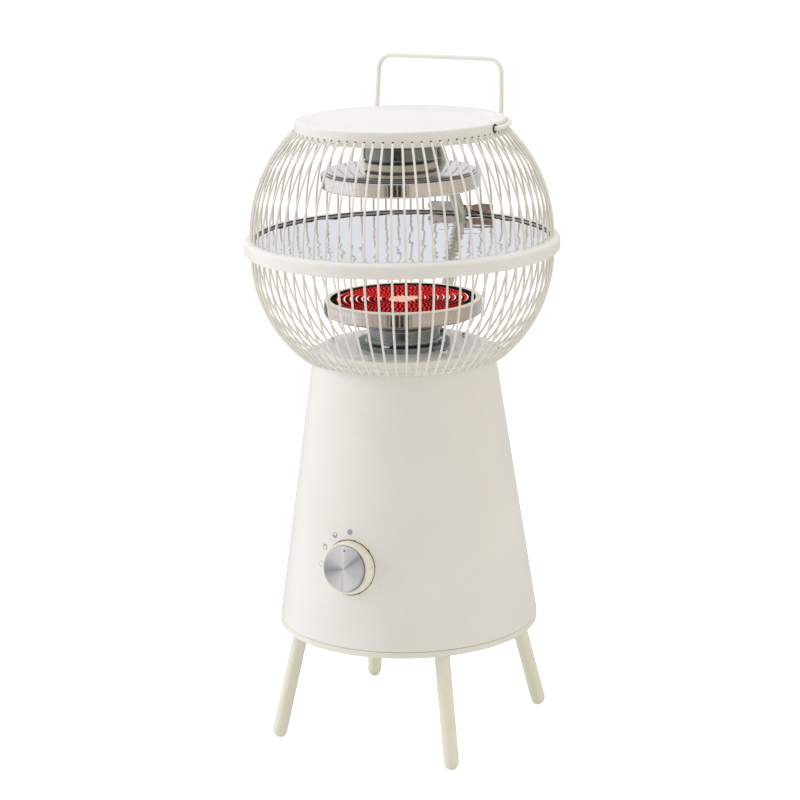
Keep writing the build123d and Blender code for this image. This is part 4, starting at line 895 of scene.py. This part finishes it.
def makeFloorPlate(look):
    # flat top with a bore, a short rise down to the rim, and a hem, one sheet thick, turned about Z
    t, edge, tuck = look["sheet"], look["edge"], look["tuck"]
    r, top, rim, bottom = look["radius"], look["top"], look["rimTop"], look["bottom"]
    footInner, riseInner = look["innerRounds"]
    corners = [
        (look["bore"], top, edge), (look["riseInner"], top, look["riseRound"]),
        (look["riseOuter"], rim, look["footRound"]), (r, rim, look["rimRound"]),
        (r, bottom, edge), (r - t, bottom, edge), (r - t, rim - t, edge),
        (look["riseOuter"] - tuck, rim - t, footInner), (look["riseInner"] - tuck, top - t, riseInner),
        (look["bore"], top - t, edge)]
    plate = lathe("floorPlate", corners, skin["stove enamel, glossy white"], turns=288, slot="cream_paint")
    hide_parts("floor_plate")


# painted shade: dark ovals where the wires enter the two walls, each lifted off its wall by a trace
holes = {"lift": 0.06, "points": 12,
         "walls": {"coverHoleShade": {"wall": cover["radius"], "height": 649.9, "size": (1.1, 0.9)},
                   "floorHoleShade": {"wall": floorPlate["radius"], "height": 411.4, "size": (1.3, 0.8)}}}


def makeHoles(name, wall, height, size):
    # painted shade as ovals on an upright wall, one at each wire: (R cos t, R sin t, height + v) with t = phi
    # + u / R
    count, around, radius = wires["count"], holes["points"], wall + holes["lift"]
    phi = np.radians(np.arange(count) * 360 / count - 90)[:, None, None]
    a = np.linspace(0, 2 * np.pi, around, endpoint=False)[None, :, None]
    depth = np.array([0.0, 1.0])[None, None, :]
    u, v = size[0] * np.cos(a) * depth, size[1] * np.sin(a) * depth
    t = phi + u / radius
    points = np.stack([radius * np.cos(t), radius * np.sin(t), height + v + 0 * t], -1)
    faces = repeatFaces(gridFaces(around, 2, True), 2 * around, count)
    makeMesh(name, points.reshape(-1, 3), faces, skin["painted shade in a hollow"], slot="dark_plastic")


makeCover(cover)
makeFloorPlate(floorPlate)
for holeName, wall in holes["walls"].items():
    makeHoles(holeName, **wall)
print("cover and floor plate done")


# Radiant units: the lower one stands on the floor plate, the upper one hangs upside down from the ceiling

unit = {
    "floor": 421.5, "ceiling": 640.0,
    "pan": {"steps": [(77.0, 32.6), (80.0, 34.0), (83.0, 35.3)], "top": 48.8, "bore": 14.0, "sheet": 0.8,
            "stepRound": 0.5, "stepHollow": 0.4, "heelRound": 0.9, "heelHollow": 0.5, "edge": 0.3,
            "band": {"inward": 0.5, "outward": 0.06, "above": 0.4, "below": 0.15}},
    "fibre": {"radius": 82.14, "inner": 76.3, "low": 36.1, "high": 50.6, "dish": 0.3, "edge": 0.4,
              "outerRound": 1.1, "innerRound": 0.5},
    "bed": {"wall": 74.95, "outer": 76.35, "low": 46.0, "floor": 48.3, "high": 50.2},
    "glass": {"radius": 74.9, "low": 49.8, "high": 50.15, "edge": 0.1},
    "flange": {"inner": 41.0, "outer": 48.6, "low": 5.3, "high": 5.56, "edge": 0.1},
    "fillet": {"foot": 41.4, "cup": 38.0, "low": 5.5, "high": 8.9, "back": (0.3, 0.2)},
}


def placeUnit(piece, side):
    # the upper unit is the lower one turned half a turn about X: (x, y, z) -> (x, -y, ceiling - z)
    def hang(points):
        points[:, 1] *= -1
        points[:, 2] = unit["ceiling"] * mm - points[:, 2]

    def stand(points):
        points[:, 2] += unit["floor"] * mm

    reshape(piece, hang if side == "upper" else stand)


def makePan(side, look):
    # stepped back, straight wall, rolled bright steel; the inside is one sheet in from the outside, and
    # a brown band of painted reflection lies round each step
    (r1, z1), (r2, z2), (r3, z3) = look["steps"]
    t, top, bore, edge = look["sheet"], look["top"], look["bore"], look["edge"]
    soft, hollow = look["stepRound"], look["stepHollow"]
    corners = [
        (bore, z1), (r1, z1, soft), (r1, z2, hollow), (r2, z2, soft), (r2, z3, hollow),
        (r3, z3, look["heelRound"]), (r3, top, edge), (r3 - t, top, edge),
        (r3 - t, z3 + t, look["heelHollow"]), (r2 - t, z3 + t, edge), (r2 - t, z2 + t, edge),
        (r1 - t, z2 + t, edge), (r1 - t, z1 + t, edge), (bore, z1 + t)]
    # the lower pan takes the darker copy of the strip: painted shade
    finish = "stainless strip, bright rolled" if side == "upper" else "stainless strip, painted shade"
    pan = lathe(side + "Pan", corners, skin[finish], turns=240, slot="bright_steel")
    placeUnit(pan, side)
    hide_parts(side + "_pan")
    band = look["band"]
    for number, (r, low, high) in enumerate([(r1, z1, z2), (r2, z2, z3)]):
        inner, outer = r - band["inward"], r + band["outward"]
        low, high = low + band["above"], high - band["below"]
        corners = [(inner, low), (outer, low), (outer, high), (inner, high)]
        step = lathe(side + "PanStepReflection" + str(number + 1), corners, skin["steel, heat tinted, and painted step reflection"], turns=200,
                     slot="bright_steel")
        placeUnit(step, side)


def makeFibreRing(side, look):
    # a rounded section turned about Z, its rim a trace lower inside than outside
    inner, outer, low, high = look["inner"], look["radius"], look["low"], look["high"]
    corners = [(inner, low, look["edge"]), (outer, low, look["edge"]), (outer, high, look["outerRound"]),
               (inner, high - look["dish"], look["innerRound"])]
    rim = lathe(side + "FibreRing", corners, skin["pressed mineral fibre"], turns=200, slot="pale_ceramic")
    placeUnit(rim, side)
    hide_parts(side + "_insulation_ring")


def makeBed(side, look):
    # the dark bed's face, turned up at its edge against the fibre ring
    wall, outer, low, floor, high = (look[key] for key in ("wall", "outer", "low", "floor", "high"))
    corners = [(0, low), (outer, low), (outer, high), (wall, high), (wall, floor), (0, floor)]
    bed = lathe(side + "BedFace", corners, skin["insulation bed, dark"], turns=160, slot="grey_ceramic")
    placeUnit(bed, side)


def makeGlass(side, look):
    # a thin round plate just over the ribbon
    radius, low, high, edge = (look[key] for key in ("radius", "low", "high", "edge"))
    corners = [(0, low), (radius, low, edge), (radius, high, edge), (0, high)]
    plate = lathe(side + "Glass", corners, skin["glass"], turns=160, steps=3, slot="dark_glass")
    placeUnit(plate, side)
    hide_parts(side + "_glass")


def makeFlange(side, look):
    # painted shade: a dark face laid just over the flange's steel
    inner, outer, low, high = look["inner"], look["outer"], look["low"], look["high"]
    corners = [(inner, low), (outer, low), (outer, high, look["edge"]), (inner, high)]
    face = lathe(side + "FlangeShade", corners, skin["zinc plated steel, painted shade"], turns=160, steps=3,
                 slot="unit_steel")
    placeUnit(face, side)


def makeFillet(side, look):
    # the drawn hollow between flange and cup: a quarter circle about (foot, high), turned about Z
    hollow = arcPoints((look["foot"], look["high"]), look["foot"] - look["cup"], 180, 270, steps=9)
    inward, down = look["back"]
    corners = [tuple(point) for point in hollow] + [(look["cup"] - inward, look["low"] - down)]
    fillet = lathe(side + "StandFillet", corners, skin["zinc plated steel, blue"], turns=160,
                   slot="unit_steel")
    placeUnit(fillet, side)


for side in ("lower", "upper"):
    makePan(side, unit["pan"])
    makeFibreRing(side, unit["fibre"])
    makeBed(side, unit["bed"])
    makeGlass(side, unit["glass"])
    makeFlange(side, unit["flange"])
    makeFillet(side, unit["fillet"])
print("pans and fibre rings done")


# Corrugated heating ribbon on its spiral

ribbon = {"turns": 22, "first": 4.0, "step": 3.2, "offset": 1.5, "wave": 4.8, "swing": 1.7, "low": 48.35,
          "high": 49.6, "thickness": 0.5, "pointsPerWave": 10, "leastPoints": 24,
          "centreHighlightRadius": 15.0, "centreHighlightSheet": (-0.1, 0.3),
          "glints": [23.5, 37.0, 43.0, 49.0, 55.0, 61.6, 68.0], "glintAngles": (28.8, 208.8),
          "glintReach": 22, "glintWidth": 1.3, "glintTip": 0.02, "glintLift": 0.12, "glintPoints": 17}


def spiralPoints(look):
    # half circles of radius first + k * step about (-offset, 0) and (+offset, 0) in turn
    points = []
    for k in range(look["turns"]):
        radius = look["first"] + look["step"] * k
        way = 1 if k % 2 == 0 else -1
        steps = max(look["leastPoints"], int(math.pi * radius / (look["wave"] / look["pointsPerWave"])))
        a = np.linspace(0, np.pi, steps, endpoint=False)
        points.append(np.stack([way * (radius * np.cos(a) - look["offset"]), way * radius * np.sin(a)], -1))
    return np.vstack(points)


def makeRibbon(side, look):
    # along the spiral s, the ribbon swings sideways by swing * sin(2 pi s / wave) and stands on edge;
    # its map: U = s / wave, V = 0 at the low edge and 1 at the high one
    path = spiralPoints(look)
    along = np.gradient(path, axis=0)
    length = np.linalg.norm(along, axis=1)
    along /= length[:, None]
    across = np.stack([-along[:, 1], along[:, 0]], -1)
    s = np.cumsum(length)
    centre = path + across * (look["swing"] * np.sin(2 * np.pi * s / look["wave"]))[:, None]
    points, faces = standingStrip(centre, look["thickness"], look["low"], look["high"])
    flow = np.column_stack([np.repeat(s / look["wave"], 4), np.tile([0.0, 0.0, 1.0, 1.0], len(s))])
    strip = makeMesh(side + "Ribbon", points, faces, skin["ribbon"], smoothAngle=50, slot="glowing_coil",
                     uv=flow)
    placeUnit(strip, side)
    strip.visible_diffuse = False
    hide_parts(side + "_coil")


def makeCentreHighlight(side, look):
    # painted highlight: a pale glowing patch over the innermost turns, a low disc under the ribbon
    r = look["centreHighlightRadius"]
    low, high = (look["low"] + lift for lift in look["centreHighlightSheet"])
    patch = lathe(side + "CentreHighlight", [(0, low), (r, low), (r, high), (0, high)], skin["ribbon"], turns=48,
                  slot="glowing_coil")
    placeUnit(patch, side)
    patch.visible_diffuse = False


def makeGlints(side, look):
    # painted highlights as crescents: radius +- half width * cos(90 degrees * t), t = -1..1 over the reach on
    # each side of an angle
    steps = look["glintPoints"]
    t = np.linspace(-1, 1, steps)[None, None, :, None]
    middle = np.radians(np.array(look["glintAngles"]))[:, None, None, None]
    radius = np.array(look["glints"])[None, :, None, None]
    half = look["glintWidth"] / 2 * np.cos(np.pi / 2 * t) + look["glintTip"]
    r = radius + half * np.array([-1.0, 1.0])[None, None, None, :] + 0 * middle
    angle = middle + np.radians(look["glintReach"]) * t + 0 * r
    z = look["high"] + look["glintLift"] + 0 * r
    points = np.stack([r * np.cos(angle), r * np.sin(angle), z], -1).reshape(-1, 3)
    faces = repeatFaces(gridFaces(steps, 2), 2 * steps, len(look["glintAngles"]) * len(look["glints"]))
    glints = makeMesh(side + "Glints", points, faces, skin["glint"], slot="glowing_coil")
    placeUnit(glints, side)
    glints.visible_diffuse = False


for side in ("lower", "upper"):
    makeRibbon(side, ribbon)
    makeCentreHighlight(side, ribbon)
    makeGlints(side, ribbon)
print("ribbons done")


# Knob with its collar, foot line and position marks

knob = {
    "height": 211.4, "base": 28.2, "front": 26.6, "low": 0.9, "high": 9.3, "seat": 7.7, "gap": 0.45,
    "baseRound": 0.4, "frontRound": 0.9, "lipRound": 0.2,
    "grooves": 10, "grooveStart": 8.0, "grooveWidth": 1.6, "grooveDepth": 0.8, "grooveEdge": 0.3,
    "grooveFade": 0.75,
    "cap": 23.6, "capTop": 12.1, "capRound": 0.7,
    # a small dimple near the cap's rim, drawn flat as a bright ring of painted highlight round a middle of
    # painted shade: its centre, then radii and finish of each
    "dimple": (0.0, 19.0), "dimpleSheet": (-0.2, 0.05),
    "dimpleRings": {"knobDimpleRim": (0.85, 1.4, "nickel plate, bright"),
                    "knobDimple": (0.0, 0.85, "painted shade in a hollow")},
    "collar": (26.6, 28.1, -4.2, 0.6), "collarRound": 0.2,
    "foot": (27.6, 29.1), "footLift": 0.12, "notch": (28.2, 1.3), "notchLift": 0.16,
    # each hollow is its radius and how far it lies above the mark's centre
    "marks": {"radius": 37.6, "shift": (0.9, -0.6), "size": 3.05, "angles": [3.3, 33.0, 62.8, 92.5],
              "hollows": [None, (1.5, 1.0), (2.0, -0.55), (2.5, 0.0)], "inkLift": 0.07, "hollowLift": 0.1},
}


def knobAxis(look):
    # square on the cone at the front: x to the right, y up the slope, z out of it
    origin = (0.0, -float(coneRadius(look["height"])), look["height"])
    sine, cosine = math.sin(coneTilt), math.cos(coneTilt)
    return origin, (1, 0, 0), (0, sine, cosine), (0, -cosine, sine)


def makeKnob(look):
    # a short cone with a seat for the cap, turned about the knob's axis, and a fixed collar behind it
    axis = knobAxis(look)

    def grooved(phi, r, h):
        # r less a rounded groove at each of the equal angles, deepest at the base of the side wall
        pitch = 2 * np.pi / look["grooves"]
        start = math.radians(look["grooveStart"])
        aside = np.abs((phi - start + pitch / 2) % pitch - pitch / 2) * r
        groove = np.clip(1 - (aside / (look["grooveWidth"] / 2)) ** 2, 0, 1)
        onWall = (r > look["front"] - look["grooveEdge"]) & (h < look["high"] - look["grooveEdge"])
        fade = 1 - look["grooveFade"] * (h - look["low"]) / (look["high"] - look["low"])
        return r - look["grooveDepth"] * groove * fade * onWall

    low, high, lip = look["low"], look["high"], look["cap"] + look["gap"]
    wall = [(0, low), (look["base"], low, look["baseRound"]), (look["front"], high, look["frontRound"]),
            (lip, high, look["lipRound"]), (lip, look["seat"]), (0, look["seat"])]
    body = lathe("knobBody", wall, skin["moulded ABS, ivory"], turns=400, axis=axis, shape=grooved,
                 body="knob", slot="knob_plastic")
    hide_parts("knob_body")
    inner, outer, back, front = look["collar"]
    lathe("knobCollar", [(inner, back), (outer, back), (outer, front, look["collarRound"]), (inner, front)],
          skin["moulded ABS, ivory"], turns=160, axis=axis, slot="knob_plastic")


def makeCap(look):
    # spun disc; its map: U = angle / 360 degrees, V = r / radius, with a last column of points at U = 1
    origin, ex, ey, ez = (np.array(a, float) for a in knobAxis(look))
    radius, top, seat, soft = look["cap"], look["capTop"], look["seat"], look["capRound"]
    face = np.column_stack([np.linspace(0, radius - soft, 12)[:-1], np.full(11, top)])
    edge = arcPoints((radius - soft, top - soft), soft, 90, 0, steps=6)
    profile = np.vstack([face, edge, [[radius, seat], [0, seat]]])
    u = np.linspace(0, 1, 181)[:, None]
    r, h = profile[None, :, 0], profile[None, :, 1]
    x, y = r * np.cos(2 * np.pi * u), r * np.sin(2 * np.pi * u)
    points = origin + x[..., None] * ex + y[..., None] * ey + (h + 0 * u)[..., None] * ez
    flow = np.stack([u + 0 * r, r / radius + 0 * u], -1)
    cap = makeMesh("knobCap", points.reshape(-1, 3), gridFaces(181, len(profile)), skin["spun"], body="knob",
                   slot="spun_aluminium", uv=flow.reshape(-1, 2))
    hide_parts("knob_cap")
    across, up = look["dimple"]
    centre = origin + across * ex + up * ey
    low, high = (top + lift for lift in look["dimpleSheet"])
    # the dimple's flat rings: a painted highlight round a painted shade
    for name, (inner, outer, finish) in look["dimpleRings"].items():
        lathe(name, [(inner, low), (outer, low), (outer, high), (inner, high)], skin[finish], turns=24,
              axis=(centre, ex, ey, ez), body="knob", slot="spun_aluminium")


def onCone(u, v, z, lift):
    # a point u mm round the cone and v mm up its slope from the front at height z
    height = z + v * math.cos(coneTilt)
    r = coneRadius(height) + lift
    return np.stack([r * np.sin(u / r), -r * np.cos(u / r), height], -1)


def printedSpot(name, across, up, reach, material, lift):
    # a flat ring between two radii round a point of the cone, each point laid on the cone
    a = np.linspace(0, 2 * np.pi, 48, endpoint=False)[:, None]
    r = np.array(reach)[None, :]
    points = onCone(across + r * np.cos(a), up + r * np.sin(a), knob["height"], lift)
    makeMesh(name, points.reshape(-1, 3), gridFaces(48, 2, True), skin[material], slot="dark_plastic")


def makeFootLine(look):
    # painted shadow line where the collar meets the cone, with a spot of painted shade at every groove
    printedSpot("knobFootLine", 0, 0, look["foot"], "painted shadow line, brown", look["footLift"])
    radius, size = look["notch"]
    for number in range(look["grooves"]):
        a = math.radians(look["grooveStart"]) + 2 * math.pi * number / look["grooves"]
        printedSpot("knobNotchShade" + str(number + 1), radius * math.cos(a), radius * math.sin(a), (0.0, size),
                    "painted shade in a hollow", look["notchLift"])


def makeMarks(look):
    # four printed spots round the knob, full to empty: an ink disc with a hollow of bare paint in it
    for number, (angle, hollow) in enumerate(zip(look["angles"], look["hollows"])):
        name, turn = "mark" + str(number + 1), math.radians(angle)
        across = look["shift"][0] - look["radius"] * math.sin(turn)
        up = look["shift"][1] + look["radius"] * math.cos(turn)
        printedSpot(name, across, up, (0.0, look["size"]), "screen ink, blue grey", look["inkLift"])
        if hollow:
            radius, above = hollow
            printedSpot(name + "Hollow", across, up + above, (0.0, radius), "powder coat, warm white",
                        look["hollowLift"])


makeKnob(knob)
makeCap(knob)
makeFootLine(knob)
makeMarks(knob["marks"])
print("knob done")
